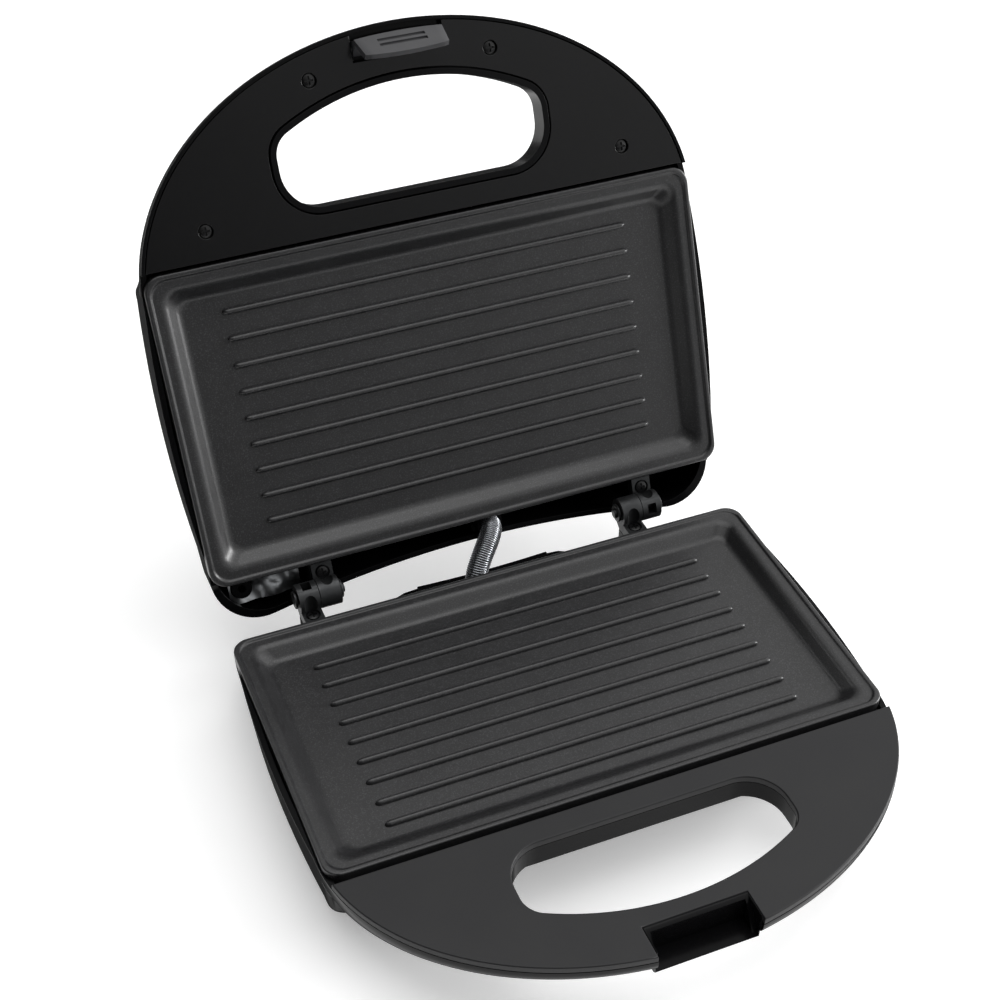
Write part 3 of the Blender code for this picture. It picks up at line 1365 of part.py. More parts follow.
def frames():
    """The root, the two halves' frames on the hinge axis and the latch's on its pin."""
    root = bpy.data.objects.new("stand", None)
    base = bpy.data.objects.new("base_frame", None)
    lid = bpy.data.objects.new("lid_frame", None)
    pivot = bpy.data.objects.new("latch_frame", None)
    for thing in (root, base, lid, pivot):
        bpy.context.collection.objects.link(thing)
    base.parent = root
    lid.parent = root
    pivot.parent = lid
    base.location = (0.0, 0.0, HINGE_HEIGHT)
    lid.location = base.location
    opened = Matrix.Rotation(-OPEN_ANGLE, 4, "X") @ Matrix.Rotation(math.pi, 4, "Y")
    lid.rotation_euler = opened.to_euler()
    pivot.location = place(0.0, LATCH_PIVOT_REACH, LATCH_PIVOT_DEPTH)
    bpy.context.view_layer.update()
    return root, base, lid, pivot


def build_half(half, frame, paints, helper):
    """What the base and the lid have alike."""
    make = base_casing if half == "base" else lid_casing
    body = make(frame, paints["shell"], helper)
    cover(half, frame, paints["cover_" + half], helper)
    grill_plate(half, frame, paints["plate"], helper)
    heating_element(half, frame, paints["steel"])
    heat_shield(half, frame, paints["steel"], helper)
    middle = PLATE_SETBACK + PLATE_LENGTH / 2
    head = SHIELD_DEPTH + SHIELD_METAL + SEAM + HEAD_HEIGHT
    for side, word in ((-1, "left"), (1, "right")):
        word = word if half == "base" else {"left": "right", "right": "left"}[word]
        screw(f"{half}_plate_screw_{word}", side * STUD_ACROSS, middle, head,
              PLATE_SCREW_LENGTH + HEAD_HEIGHT, -1, frame, paints["steel"], helper)
    for side, leaf in LEAVES:
        hinge_leaf(f"hinge_{leaf}_{half}", side, leaf, frame, paints["hinge"], helper)
        inner, outer = leaf_span(side, leaf)
        screw(f"hinge_screw_{half}_{leaf}", (inner + outer) / 2, LEAF_SCREW_REACH, LEAF_TOP - SEAM,
              LEAF_SCREW_LENGTH, 1, frame, paints["hinge"], helper)
    return body


def centre_front_to_back(root):
    """Puts the origin under the middle of the object's box."""
    bpy.context.view_layer.update()
    graph = bpy.context.evaluated_depsgraph_get()
    lows = []
    highs = []
    for piece in bpy.data.objects:
        if piece.type == "EMPTY" or piece.hide_render:
            continue
        seen = piece.evaluated_get(graph)
        mesh = seen.to_mesh()
        places = [(seen.matrix_world @ vertex.co).y for vertex in mesh.vertices]
        seen.to_mesh_clear()
        lows.append(min(places))
        highs.append(max(places))
    root.location.y = -(min(lows) + max(highs)) / 2
    bpy.context.view_layer.update()


def main():
    clear_scene()
    root, base, lid, pivot = frames()
    paints = {
        "shell": finish("casing_black", BLACK_SHARES, 0.0, 0.25),
        "cover_base": finish("cover_satin_black", SATIN_BLACK_SHARES, 0.0, 0.45),
        "cover_lid": finish("cover_gloss_black", BLACK_SHARES, 0.0, 0.15),
        "plate": finish("non_stick", NON_STICK_SHARES, 0.3, 0.5),
        "steel": finish("bright_steel", STEEL_SHARES, 1.0, 0.3),
        "hinge": finish("dark_metal", DARK_METAL_SHARES, 0.8, 0.4),
        "latch": finish("latch_grey", GREY_SHARES, 0.0, 0.45),
        "rubber": finish("rubber", RUBBER_SHARES, 0.0, 0.8),
        "red": finish("lens_red", RED_SHARES, 0.0, 0.2),
        "green": finish("lens_green", GREEN_SHARES, 0.0, 0.2),
        "cream": finish("ceramic_cream", CREAM_SHARES, 0.0, 0.6),
    }
    helper = finish("helper", GREY_SHARES, 0.0, 1.0)
    bodies = {
        "base": build_half("base", base, paints, helper),
        "lid": build_half("lid", lid, paints, helper),
    }
    conduit(base, lid, paints["steel"], paints["rubber"])
    bushing_boss("base", bodies["base"], base, helper)
    bushing_boss("lid", bodies["lid"], lid, helper)
    for side, word in ((-1, "left"), (1, "right")):
        hinge_pin("hinge_pin_" + word, side, base, paints["steel"])
        hinge_clip("hinge_clip_" + word, side, base, paints["steel"])
    for name, (across, reach) in foot_places().items():
        foot(name, across, reach, base, paints["rubber"])
    for number, (across, reach) in enumerate(cover_screw_places(), 1):
        screw(f"lid_cover_screw_{number}", across, reach, COVER_DROP, COVER_SCREW_LENGTH, 1,
              lid, paints["hinge"], helper)
    for side, word in ((-1, "left"), (1, "right")):
        screw("base_cover_screw_" + word, side * FRONT_SCREW_ACROSS, FRONT_SCREW_REACH,
              SLAB_DEPTH + SEAM + HEAD_HEIGHT, COVER_SCREW_LENGTH + HEAD_HEIGHT, -1,
              base, paints["steel"], helper)
    latch("latch_clip", pivot, paints["latch"], helper)
    latch_pin(lid, paints["steel"])
    thermostat(base, paints["cream"])
    thermal_fuse(base, paints["cream"])
    terminal_block(base, paints["cream"], helper)
    cord_bushing(base, paints["rubber"])
    lamp_parts(lid, paints["red"], paints["green"], paints["cream"])
    centre_front_to_back(root)
    print("hinge axis at", tuple(round(value, 6) for value in base.matrix_world.translation))
    print("latch axis at", tuple(round(value, 6) for value in pivot.matrix_world.translation))


main()
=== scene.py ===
# %% [markdown]
# # A sandwich maker, standing open
#
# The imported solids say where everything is. This lesson dresses them: it makes finer shapes
# for the parts that show, gives every part the finish of its real material, and lights the
# whole as a product on white. Lengths are in metres and Z is up.

import json
import math

import bmesh
import bpy
from mathutils import Matrix, Vector


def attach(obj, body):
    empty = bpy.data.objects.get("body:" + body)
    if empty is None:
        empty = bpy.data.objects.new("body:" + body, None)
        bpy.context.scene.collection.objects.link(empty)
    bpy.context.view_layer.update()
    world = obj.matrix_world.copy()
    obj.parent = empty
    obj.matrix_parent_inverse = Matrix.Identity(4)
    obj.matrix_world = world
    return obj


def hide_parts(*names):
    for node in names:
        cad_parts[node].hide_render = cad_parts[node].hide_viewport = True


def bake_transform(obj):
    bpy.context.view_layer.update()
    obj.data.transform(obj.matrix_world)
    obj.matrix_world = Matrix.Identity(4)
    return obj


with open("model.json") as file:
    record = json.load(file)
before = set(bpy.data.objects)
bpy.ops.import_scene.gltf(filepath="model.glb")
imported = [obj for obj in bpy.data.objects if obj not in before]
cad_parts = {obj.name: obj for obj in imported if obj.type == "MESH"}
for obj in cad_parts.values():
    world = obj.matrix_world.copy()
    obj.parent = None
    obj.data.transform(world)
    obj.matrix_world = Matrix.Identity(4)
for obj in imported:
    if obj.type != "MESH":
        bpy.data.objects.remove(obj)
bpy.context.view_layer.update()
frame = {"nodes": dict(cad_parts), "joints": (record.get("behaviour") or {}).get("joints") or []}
joints = {joint["name"]: joint for joint in frame["joints"]}
HINGE = Vector(joints["lid_hinge"]["pos_m"])
print("solids", len(frame["nodes"]), "hinge axis at", HINGE)

# %% [markdown]
# ## Two halves, one way of drawing
#
# The base and the lid share most of their shapes, so both are drawn in the same way: a point is
# given by its place across, its reach forward of the hinge and its depth below the parting
# plane. One matrix for each half carries the drawing to its place, so no slope of the open lid
# has to be worked out by hand.

# %% The halves' frames
OPEN_ANGLE = math.radians(113.05)
SEAM = 0.0003  # the gap between two parts that touch
PAST = 0.003  # how far a cutting form sticks out of what it cuts
to_hinge = Matrix.Translation(HINGE)
lid_turn = Matrix.Rotation(-OPEN_ANGLE, 4, "X") @ Matrix.Rotation(math.pi, 4, "Y")
half_frames = {"base": to_hinge, "lid": to_hinge @ lid_turn}


def place(across, reach, depth):
    return Vector((across, -reach, -depth))


print("tip of the open lid at", half_frames["lid"] @ place(0.0, 0.216, 0.0))

# %% [markdown]
# ## Camera
#
# The photograph looks down at 44 degrees from the front left with a moderate lens. The optical
# centre lies below the middle of the picture, which the lens shift repeats.

# %% Camera
def stand(name, data):
    """A new object in the scene."""
    made = bpy.data.objects.new(name, data)
    bpy.context.scene.collection.objects.link(made)
    return made


def point_along(thing, ahead):
    thing.rotation_mode = "QUATERNION"
    thing.rotation_quaternion = ahead.to_track_quat("-Z", "Y")


camera_data = bpy.data.cameras.new("photograph_view")
camera_data.sensor_width = 36.0
camera_data.lens = 60.0
camera_data.shift_x = -0.0018
camera_data.shift_y = 0.1207
camera = stand("photograph_view", camera_data)
camera.location = (-0.1932, -0.43549, 0.5177)
azimuth, fall = math.radians(22.1852), math.radians(44.2106)
level = math.cos(fall)
ahead = Vector((math.sin(azimuth) * level, math.cos(azimuth) * level, -math.sin(fall)))
point_along(camera, ahead)
bpy.context.scene.camera = camera
bpy.context.scene.view_settings.view_transform = "Standard"
print("camera looks along", ahead)

# %% [markdown]
# ## Helpers for finishes
#
# Colours are written as the eye knows them, in sRGB hex, and Blender wants linear light. One
# function makes the change and one adds a node with its settings and links. Most of the
# finishes here are a base colour that drifts a little, a grain that breaks up the gloss and a
# fine relief, so one more function builds that much and each finish adds what is its own.


# %% Colour, nodes and the common part of a finish
def linear(colour):
    shares = [int(colour[digit:digit + 2], 16) / 255 for digit in (1, 3, 5)]
    return [share / 12.92 if share <= 0.04045 else ((share + 0.055) / 1.055) ** 2.4
            for share in shares]


def add_node(tree, kind, settings=None, links=None):
    """A shader node with its settings (inputs by name or number, or properties) and its links."""
    made = tree.nodes.new("ShaderNode" + kind)
    for name, value in (settings or {}).items():
        if name == "stops":
            ramp = made.color_ramp.elements
            for slot, (position, colour) in enumerate(value):
                stop = ramp[slot] if slot < 2 else ramp.new(position)
                stop.position = position
                stop.color = (*linear(colour), 1.0)
        elif isinstance(name, int) or name in made.inputs:
            made.inputs[name].default_value = value
        else:
            setattr(made, name, value)
    for name, source in (links or {}).items():
        tree.links.new(source, made.inputs[name])
    return made


def emptied(owner):
    """The node tree of a material or a world, with nothing in it yet."""
    owner.use_nodes = True
    owner.node_tree.nodes.clear()
    return owner.node_tree


def noise(tree, where, size_mm, detail):
    settings = {"Scale": 1000 / size_mm, "Detail": detail}
    return add_node(tree, "TexNoise", settings, {"Vector": where}).outputs["Fac"]


def spread(tree, value, source, target):
    """Carries a value from one range to another and stops at its ends."""
    settings = dict(zip(("From Min", "From Max", "To Min", "To Max"), (*source, *target)))
    return add_node(tree, "MapRange", settings, {"Value": value}).outputs["Result"]


def larger(tree, first, second):
    settings = {"operation": "MAXIMUM"}
    return add_node(tree, "Math", settings, {0: first, 1: second}).outputs[0]


NOISE_RANGE = (0.3, 0.7)  # where nearly all values of a noise lie


def finish(name, colours, drift_mm, grain_mm, gloss, relief_mm, metallic=0.0, ior=1.5, shine=0.5):
    """colours drift over drift_mm; grain_mm breaks up the gloss, a roughness range, and the relief."""
    made = bpy.data.materials.new(name)
    tree = emptied(made)
    where = add_node(tree, "TexCoord").outputs["Object"]
    drift = noise(tree, where, drift_mm, 3.0)
    grain = noise(tree, where, grain_mm, 2.0)
    tint = add_node(tree, "ValToRGB", {"stops": zip(NOISE_RANGE, colours)}, {"Fac": drift})
    rough = spread(tree, grain, NOISE_RANGE, gloss)
    relief = add_node(tree, "Bump", {"Strength": 1.0, "Distance": relief_mm / 1000},
                      {"Height": grain})
    shader = add_node(
        tree, "BsdfPrincipled", {"Metallic": metallic, "IOR": ior, "Specular IOR Level": shine},
        {"Base Color": tint.outputs["Color"], "Roughness": rough, "Normal": relief.outputs["Normal"]})
    add_node(tree, "OutputMaterial", {}, {"Surface": shader.outputs["BSDF"]})
    return made


def find(material, kind):
    return next(node for node in material.node_tree.nodes if node.bl_idname == "ShaderNode" + kind)


# %% [markdown]
# ## Plastics
#
# The casings are glossy black ABS from a polished mould: almost no grain, a very slight
# waviness in the gloss. The lid's handle panel is the same plastic with a higher polish. The
# base's panel comes from an eroded mould, whose fine even grain turns the black into a soft
# charcoal. The latch is a lighter grey plastic with the same grain. Moulded plastic is never
# one flat value, so each drifts a little in colour and gloss. Seen along its surface, a casing
# stays black where a perfect polish would turn white, so its gloss falls off with the slant.

# %% Plastics
casing_gloss = finish(
    "abs_polished_mould_black", ("#070708", "#0b0b0c"), 30, 1.2, (0.16, 0.22), 0.002, shine=0.1)
panel_gloss = finish(
    "abs_high_polish_black", ("#060607", "#09090a"), 45, 2.5, (0.14, 0.2), 0.0012, shine=0.3)
panel_satin = finish(
    "abs_eroded_mould_charcoal", ("#161618", "#1a1a1b"), 25, 0.7, (0.42, 0.5), 0.010, shine=0.32)
latch_satin = finish(
    "abs_eroded_mould_grey", ("#363638", "#3d3d3f"), 14, 0.7, (0.34, 0.42), 0.010, shine=0.4)
black_thermoset = finish(
    "phenolic_moulded_black", ("#161617", "#1d1d1e"), 9, 0.8, (0.45, 0.6), 0.012, shine=0.4)
tree = casing_gloss.node_tree
polish = find(casing_gloss, "MapRange").outputs["Result"]
slant = add_node(tree, "LayerWeight", {"Blend": 0.5})
dulled = spread(tree, slant.outputs["Facing"], (0.70, 0.90), (0.0, 0.95))
shader = find(casing_gloss, "BsdfPrincipled")
tree.links.new(larger(tree, polish, dulled), shader.inputs["Roughness"])
print("plastics made")

# %% [markdown]
# ## Non-stick coating
#
# The plates are cast aluminium, sprayed with a dark fluoropolymer that holds mica: it shows a
# fine speckle and a slightly pebbled skin. The real speckle is about 0.2 mm, too fine to show
# here, so it is drawn at 0.5 mm. One noise makes the skin and one, cut off sharply, the specks.

# %% Non-stick coating
non_stick = finish("ptfe_sprayed_on_cast_aluminium", ("#161617", "#1c1c1d"), 12, 0.7, (0.3, 0.38), 0.020)
tree = non_stick.node_tree
where = find(non_stick, "TexCoord").outputs["Object"]
picked = spread(tree, noise(tree, where, 0.5, 1.0), (0.52, 0.74), (0.0, 0.4))
plain = find(non_stick, "ValToRGB").outputs["Color"]
speckled = add_node(tree, "Mix", {"data_type": "RGBA", 7: (*linear("#4c4c4e"), 1.0)},
                    {0: picked, 6: plain})
shader = find(non_stick, "BsdfPrincipled")
tree.links.new(speckled.outputs[2], shader.inputs["Base Color"])
print("non-stick coating made")

# %% [markdown]
# ## Metals
#
# The spring is drawn steel wire, nickel plated and bright. The hinges, with their pins and
# rings, are steel, blackened in a hot bath, which leaves a dull grey sheen. The latch's pin and
# the hidden plate screws are zinc plated. The heat shields are thin aluminised sheet, bent by
# hand, so their surface is dented on the scale of a fingertip and throws broken reflections.
# The elements are sheathed in nickel steel, browned by heat.

# %% Metals
spring_steel = finish(
    "nickel_plated_spring_wire", ("#86888c", "#a2a4a8"), 3, 0.3, (0.2, 0.3), 0.004, metallic=1.0)
hinge_steel = finish(
    "black_oxide_stamped_steel", ("#2b2c2d", "#38393a"), 5, 0.8, (0.3, 0.44), 0.012, metallic=0.7)
zinc_plate = finish(
    "zinc_plated_steel", ("#a5a8ac", "#c3c6ca"), 4, 0.7, (0.24, 0.38), 0.006, metallic=1.0)
black_screw = finish(
    "black_oxide_screw_steel", ("#09090a", "#0e0e0f"), 2, 0.5, (0.24, 0.36), 0.006, metallic=0.2, shine=0.4)
element_sheath = finish(
    "nickel_steel_sheath_heat_browned", ("#4a4640", "#6d665b"), 16, 0.8, (0.35, 0.5), 0.008, metallic=1.0)
# The sheet's colour is set darker than bare aluminised sheet. This is painted shade, so that its corners
# beside the hinges show as dim grey.
shield_sheet = finish(
    "aluminised_sheet_hand_bent", ("#6f7173", "#8a8c8e"), 20, 1.0, (0.3, 0.42), 0.008, metallic=1.0)
tree = shield_sheet.node_tree
where = find(shield_sheet, "TexCoord").outputs["Object"]
fine_relief = find(shield_sheet, "Bump").outputs["Normal"]
dented = add_node(tree, "Bump", {"Strength": 1.0, "Distance": 0.0003},
                  {"Height": noise(tree, where, 7, 2.0), "Normal": fine_relief})
shader = find(shield_sheet, "BsdfPrincipled")
tree.links.new(dented.outputs["Normal"], shader.inputs["Normal"])
print("metals made")

# %% [markdown]
# ## Rubber, glass fibre, ceramic and the lamps' lenses
#
# The feet are moulded rubber, matt and slightly dusty. The sleeve inside the spring is a
# varnished glass-fibre braid, black. The terminal block is pressed steatite, a cream ceramic.
# The lenses are clear acrylic dyed in the mass, so light passes through them.

# %% Soft and glassy materials
rubber = finish("moulded_rubber_black", ("#161616", "#202020"), 5, 0.6, (0.7, 0.85), 0.015, shine=0.3)
braid = finish(
    "varnished_glass_braid_black", ("#0f0f10", "#1b1b1c"), 1.5, 0.8, (0.4, 0.6), 0.05, shine=0.4)
steatite = finish("pressed_steatite_cream", ("#cfc4a8", "#ddd3ba"), 6, 0.7, (0.5, 0.65), 0.012)
lens_red = finish("acrylic_dyed_red", ("#b3120c", "#c81a12"), 6, 1.5, (0.06, 0.12), 0.001, ior=1.49)
lens_green = finish("acrylic_dyed_green", ("#0c7a2a", "#128a33"), 6, 1.5, (0.06, 0.12), 0.001, ior=1.49)
for lens in (lens_red, lens_green):
    find(lens, "BsdfPrincipled").inputs["Transmission Weight"].default_value = 0.5
print("materials", len(bpy.data.materials))

# %% [markdown]
# ## Helpers for shapes
#
# Nearly every part is a stack of rings, a prism, a turned part or a bar, each made with
# Blender's own mesh operators: a ring is extruded to the next one, a profile is spun. Parts are
# then joined and cut by exact Boolean steps, as a toolmaker adds bosses to a mould and mills
# pockets, and eased by a bevel, because a real edge always catches a line of light.


# %% Rings, prisms and turned parts
def stack(rings):
    """A closed form from rings of as many points each: every ring is extruded to the next."""
    mesh = bmesh.new()
    corners = [mesh.verts.new(point) for point in rings[0]]
    start = mesh.faces.new(corners)
    edges = list(start.edges)
    for ring in rings[1:]:
        made = bmesh.ops.extrude_edge_only(mesh, edges=edges)["geom"]
        fresh = {item for item in made if isinstance(item, bmesh.types.BMVert)}
        grown = []
        for corner, point in zip(corners, ring):
            above = next(edge.other_vert(corner) for edge in corner.link_edges
                         if edge.other_vert(corner) in fresh)
            above.co = point
            grown.append(above)
        edges = [item for item in made if isinstance(item, bmesh.types.BMEdge)
                 and item.verts[0] in fresh and item.verts[1] in fresh]
        corners = grown
    bmesh.ops.contextual_create(mesh, geom=edges)
    bmesh.ops.recalc_face_normals(mesh, faces=mesh.faces)
    return mesh


def prism(outline, top, bottom):
    """An outline of (across, reach) pairs between two depths."""
    return stack([[place(x, s, depth) for x, s in outline] for depth in (top, bottom)])


def side_prism(outline, inner, outer):
    """An outline of (reach, depth) pairs between two places across."""
    return stack([[place(across, s, d) for s, d in outline] for across in (inner, outer)])


def block(across, reach, depth):
    low = place(across[0], reach[1], depth[1])
    high = place(across[1], reach[0], depth[0])
    mesh = bmesh.new()
    size = Matrix.Diagonal((*(high - low), 1.0))
    bmesh.ops.create_cube(mesh, size=1.0, matrix=Matrix.Translation((low + high) / 2) @ size)
    return mesh


def bar(start, end, radius, sides=32):
    """A round bar between two points, used for holes and bosses."""
    mesh = bmesh.new()
    along = end - start
    turn = Matrix.Translation((start + end) / 2) @ along.to_track_quat("Z", "Y").to_matrix().to_4x4()
    bmesh.ops.create_cone(mesh, cap_ends=True, segments=sides, radius1=radius, radius2=radius,
                          depth=along.length, matrix=turn)
    return mesh


def post(across, reach, top, bottom, radius, sides=32):
    return bar(place(across, reach, bottom), place(across, reach, top), radius, sides)


def rounded(points, radius, steps=4):
    """A profile with each inner corner turned into a small arc."""
    softened = [points[0]]
    for before, corner, after in zip(points, points[1:], points[2:]):
        corner = Vector(corner)
        back, on = Vector(before) - corner, Vector(after) - corner
        trim = min(radius, back.length * 0.45, on.length * 0.45)
        start, end = corner + back.normalized() * trim, corner + on.normalized() * trim
        for step in range(steps + 1):
            share = step / steps
            bent = start * (1 - share) ** 2 + corner * 2 * share * (1 - share) + end * share**2
            softened.append((bent.x, bent.y))
    return softened + [points[-1]]


def turned(profile, start, along, sides=48):
    """A profile of (distance along, radius) spun once round its axis."""
    mesh = bmesh.new()
    turn = Matrix.Translation(start) @ along.to_track_quat("Z", "Y").to_matrix().to_4x4()
    points = [mesh.verts.new(turn @ Vector((radius, 0.0, rise))) for rise, radius in profile]
    edges = [mesh.edges.new(pair) for pair in zip(points, points[1:])]
    if profile[0][1] > 0.0:
        edges.append(mesh.edges.new((points[-1], points[0])))
    axis = turn.to_3x3() @ Vector((0.0, 0.0, 1.0))
    bmesh.ops.spin(mesh, geom=points + edges, cent=start, axis=axis, angle=math.tau, steps=sides,
                   use_merge=True)
    bmesh.ops.remove_doubles(mesh, verts=mesh.verts, dist=0.000002)
    bmesh.ops.recalc_face_normals(mesh, faces=mesh.faces)
    return mesh


# %% Joining, cutting, easing and finishing
def written(name, mesh):
    """A bmesh as mesh data. The bmesh is given up."""
    data = bpy.data.meshes.new(name)
    mesh.to_mesh(data)
    mesh.free()
    return data


def combine(body, other, operation):
    """The exact DIFFERENCE, UNION or INTERSECT of two closed bmeshes, by passing objects."""
    left, right = [stand("passing", written("passing", mesh)) for mesh in (body, other)]
    step = left.modifiers.new("step", "BOOLEAN")
    step.operation = operation
    step.solver = "EXACT"
    step.object = right
    result = bmesh.new()
    result.from_object(left, bpy.context.evaluated_depsgraph_get())
    for passing in (left, right):
        data = passing.data
        bpy.data.objects.remove(passing)
        bpy.data.meshes.remove(data)
    bmesh.ops.remove_doubles(result, verts=result.verts, dist=0.000001)
    return result


def cut(body, *others):
    for other in others:
        body = combine(body, other, "DIFFERENCE")
    return body


def join(body, *others):
    for other in others:
        body = combine(body, other, "UNION")
    return body


def ease(mesh, width, steps=3, chosen=None, sharper=40):
    """Bevels the sharp edges, or only those that chosen(edge) picks."""
    flat, sharp = math.radians(0.5), math.radians(sharper)
    bmesh.ops.dissolve_limit(mesh, angle_limit=flat, verts=mesh.verts, edges=mesh.edges)
    edges = [edge for edge in mesh.edges if edge.is_manifold and edge.calc_face_angle() > sharp
             and (chosen is None or chosen(edge))]
    bmesh.ops.bevel(mesh, geom=edges, offset=width, offset_type="OFFSET", affect="EDGES",
                    segments=steps, profile=0.5, material=-1, clamp_overlap=True)
    return mesh


def in_plane(*depths):
    """Picks the edges at one of these depths, before the drawing is carried to its place."""
    def lies(edge, depth):
        return all(abs(corner.co.z + depth) < 0.00002 for corner in edge.verts)

    return lambda edge: any(lies(edge, depth) for depth in depths)


def keep(name, mesh, material, half, node, body=None, smooth=35):
    """Carries a drawing to its half's place and makes it a finished piece in its node's place."""
    if half:
        bmesh.ops.transform(mesh, matrix=half_frames[half], verts=mesh.verts)
    open_edges = sum(len(edge.link_faces) != 2 for edge in mesh.edges)
    data = written(name, mesh)
    data.materials.append(material)
    data.shade_smooth()
    data.set_sharp_from_angle(angle=math.radians(smooth))
    piece = stand(name, data)
    flats = piece.modifiers.new("flat faces stay flat", "WEIGHTED_NORMAL")
    flats.weight = 100
    flats.keep_sharp = True
    if half:
        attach(piece, body or half)
    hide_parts(node)
    print(name, "has", len(data.polygons), "faces and", open_edges, "open edges")
    return piece


# %% [markdown]
# ## The casing's outline
#
# Seen from above, each half is a letter D: a nearly straight rear with rounded corners, sides
# that bow a little and a half ellipse for the handle, all measured on the photograph. It is
# drawn once, to the right, and mirrored.


# %% Outlines
HALF_WIDTH, WIDEST_REACH, SIDE_ARC = 0.1183, 0.080, 0.515
FRONT_START, TIP_REACH = 0.128, 0.216
REAR_MIDDLE, REAR_ARC, REAR_CORNER = 0.001, 0.476, 0.020
PLATE_FRONT = 0.1405


def arc(centre, radius, start, end, steps):
    angles = [math.radians(start + (end - start) * step / steps) for step in range(steps + 1)]
    return [(centre[0] + radius * math.cos(angle), centre[1] + radius * math.sin(angle))
            for angle in angles]


def mirrored(right_half):
    return right_half + [(-x, s) for x, s in reversed(right_half) if x > 0.00001]


def rectangle(half_width, rear, front, corner, steps):
    """A rectangle with round corners."""
    rear_arc = arc((half_width - corner, rear + corner), corner, -90, 0, steps)
    front_arc = arc((half_width - corner, front - corner), corner, 0, 90, steps)
    return mirrored([(0.0, rear)] + rear_arc + front_arc + [(0.0, front)])


def side_edge(reach):
    return HALF_WIDTH - (reach - WIDEST_REACH) ** 2 / (2 * SIDE_ARC)


def rear_edge(across):
    return REAR_MIDDLE - across**2 / (2 * REAR_ARC)


def handle_curve(half_width, reach, start, power):
    """A quarter of the handle's rounded end, from the angle start to the tip."""
    points = []
    for step in range(41):
        angle = start + (math.pi / 2 - start) * step / 40
        across = half_width * max(math.cos(angle), 0.0) ** power
        points.append((across, FRONT_START + (reach - FRONT_START) * math.sin(angle) ** power))
    return points


def shell_outline(side_in, rear_in, reach, power):
    """The casing's outline, drawn in by one amount at the sides and another at the rear."""
    corner_across = side_edge(REAR_CORNER) - side_in - REAR_CORNER
    lean = math.atan(corner_across / REAR_ARC)
    meet = corner_across - REAR_CORNER * math.sin(lean)
    corner_reach = rear_edge(meet) + rear_in + REAR_CORNER * math.cos(lean)
    rear = [(meet * step / 12, rear_edge(meet * step / 12) + rear_in) for step in range(12)]
    corner = arc((corner_across, corner_reach), REAR_CORNER, -90 - math.degrees(lean), 0, 14)
    side = []
    for step in range(1, 12):
        here = corner_reach + (FRONT_START - corner_reach) * step / 12
        side.append((side_edge(here) - side_in, here))
    front = handle_curve(side_edge(FRONT_START) - side_in, reach, 0.0, 2 / power)
    return mirrored(rear + corner + side + front)


GRIP_HALF_WIDTH, GRIP_REAR, GRIP_FRONT = 0.0547, 0.1535, 0.1946
GRIP_REAR_CORNER, GRIP_FRONT_CORNER, GRIP_FRONT_ARC = 0.0155, 0.010, 0.109


def grip_outline(grow):
    """The handle opening, straight behind and bowed in front."""
    rear_centre = (GRIP_HALF_WIDTH - GRIP_REAR_CORNER, GRIP_REAR + GRIP_REAR_CORNER)
    front_across = GRIP_HALF_WIDTH - GRIP_FRONT_CORNER
    bow_centre = GRIP_FRONT - GRIP_FRONT_ARC
    rise = math.sqrt((GRIP_FRONT_ARC - GRIP_FRONT_CORNER) ** 2 - front_across**2)
    tangent = math.degrees(math.atan2(rise, front_across))
    rear = arc(rear_centre, GRIP_REAR_CORNER + grow, -90, 0, 14)
    front = arc((front_across, bow_centre + rise), GRIP_FRONT_CORNER + grow, 0, tangent, 12)
    bow = arc((0.0, bow_centre), GRIP_FRONT_ARC + grow, tangent, 90, 14)
    return mirrored([(0.0, GRIP_REAR - grow)] + rear + front + bow[1:])


PANEL_INSET = {"base": 0.0001, "lid": 0.0017}
PANEL_BACK = {"base": 0.1434, "lid": 0.1419}


def panel_outline(half, drawn_in):
    """The handle's flat panel: straight at the plate, round at the tip."""
    half_width = side_edge(FRONT_START) - PANEL_INSET[half] - drawn_in
    reach = TIP_REACH - PANEL_INSET[half] - drawn_in
    back = PANEL_BACK[half] + drawn_in
    start = math.asin((back - FRONT_START) / (reach - FRONT_START))
    return mirrored([(0.0, back)] + handle_curve(half_width, reach, start, 1))


print("the outline has", len(shell_outline(0, 0, TIP_REACH, 2)), "points")

# %% [markdown]
# ## The casings
#
# Each casing is an injection-moulded shell, 2.4 mm thick: shallow at the handle, deep under
# the plate, with draft on its walls so that it leaves the mould. It is made as a toolmaker
# thinks of it: the outer form, minus the hollow inside, plus the posts that carry the hinges,
# minus the handle opening. The solid was made by the same steps with plainer numbers. Here
# each half has its own depths, taper and roundings, all inside the solid's outline. The rims
# are eased, because the photograph shows a soft line of light there.

# %% Casing form
WALL, RIM, DEEP, REAR_ROUND = 0.0024, 0.0010, 0.038, 0.006
BAND = {"base": 0.0057, "lid": 0.0045}
SLAB = {"base": 0.0120, "lid": 0.0110}
BOTTOM_ROUND = {"base": 0.0115, "lid": 0.0070}
SIDE_TAPER = {"base": 0.0030, "lid": 0.0015}
TRAY_REACH = {"base": 0.1545, "lid": 0.1520}
TRAY_FOOT = 0.136
REAR_RIMS = {"lid": 0.0108, "base": 0.024}
SIDE_RIM, REAR_TAPER = 0.0045, 0.002
OUTSIDE = 0.125  # further across than any part of a casing
BUSHING_ACROSS = {"base": -0.0053, "lid": -0.0080}
BUSHING_REACH, BUSHING_DEPTH = 0.0068, 0.0100


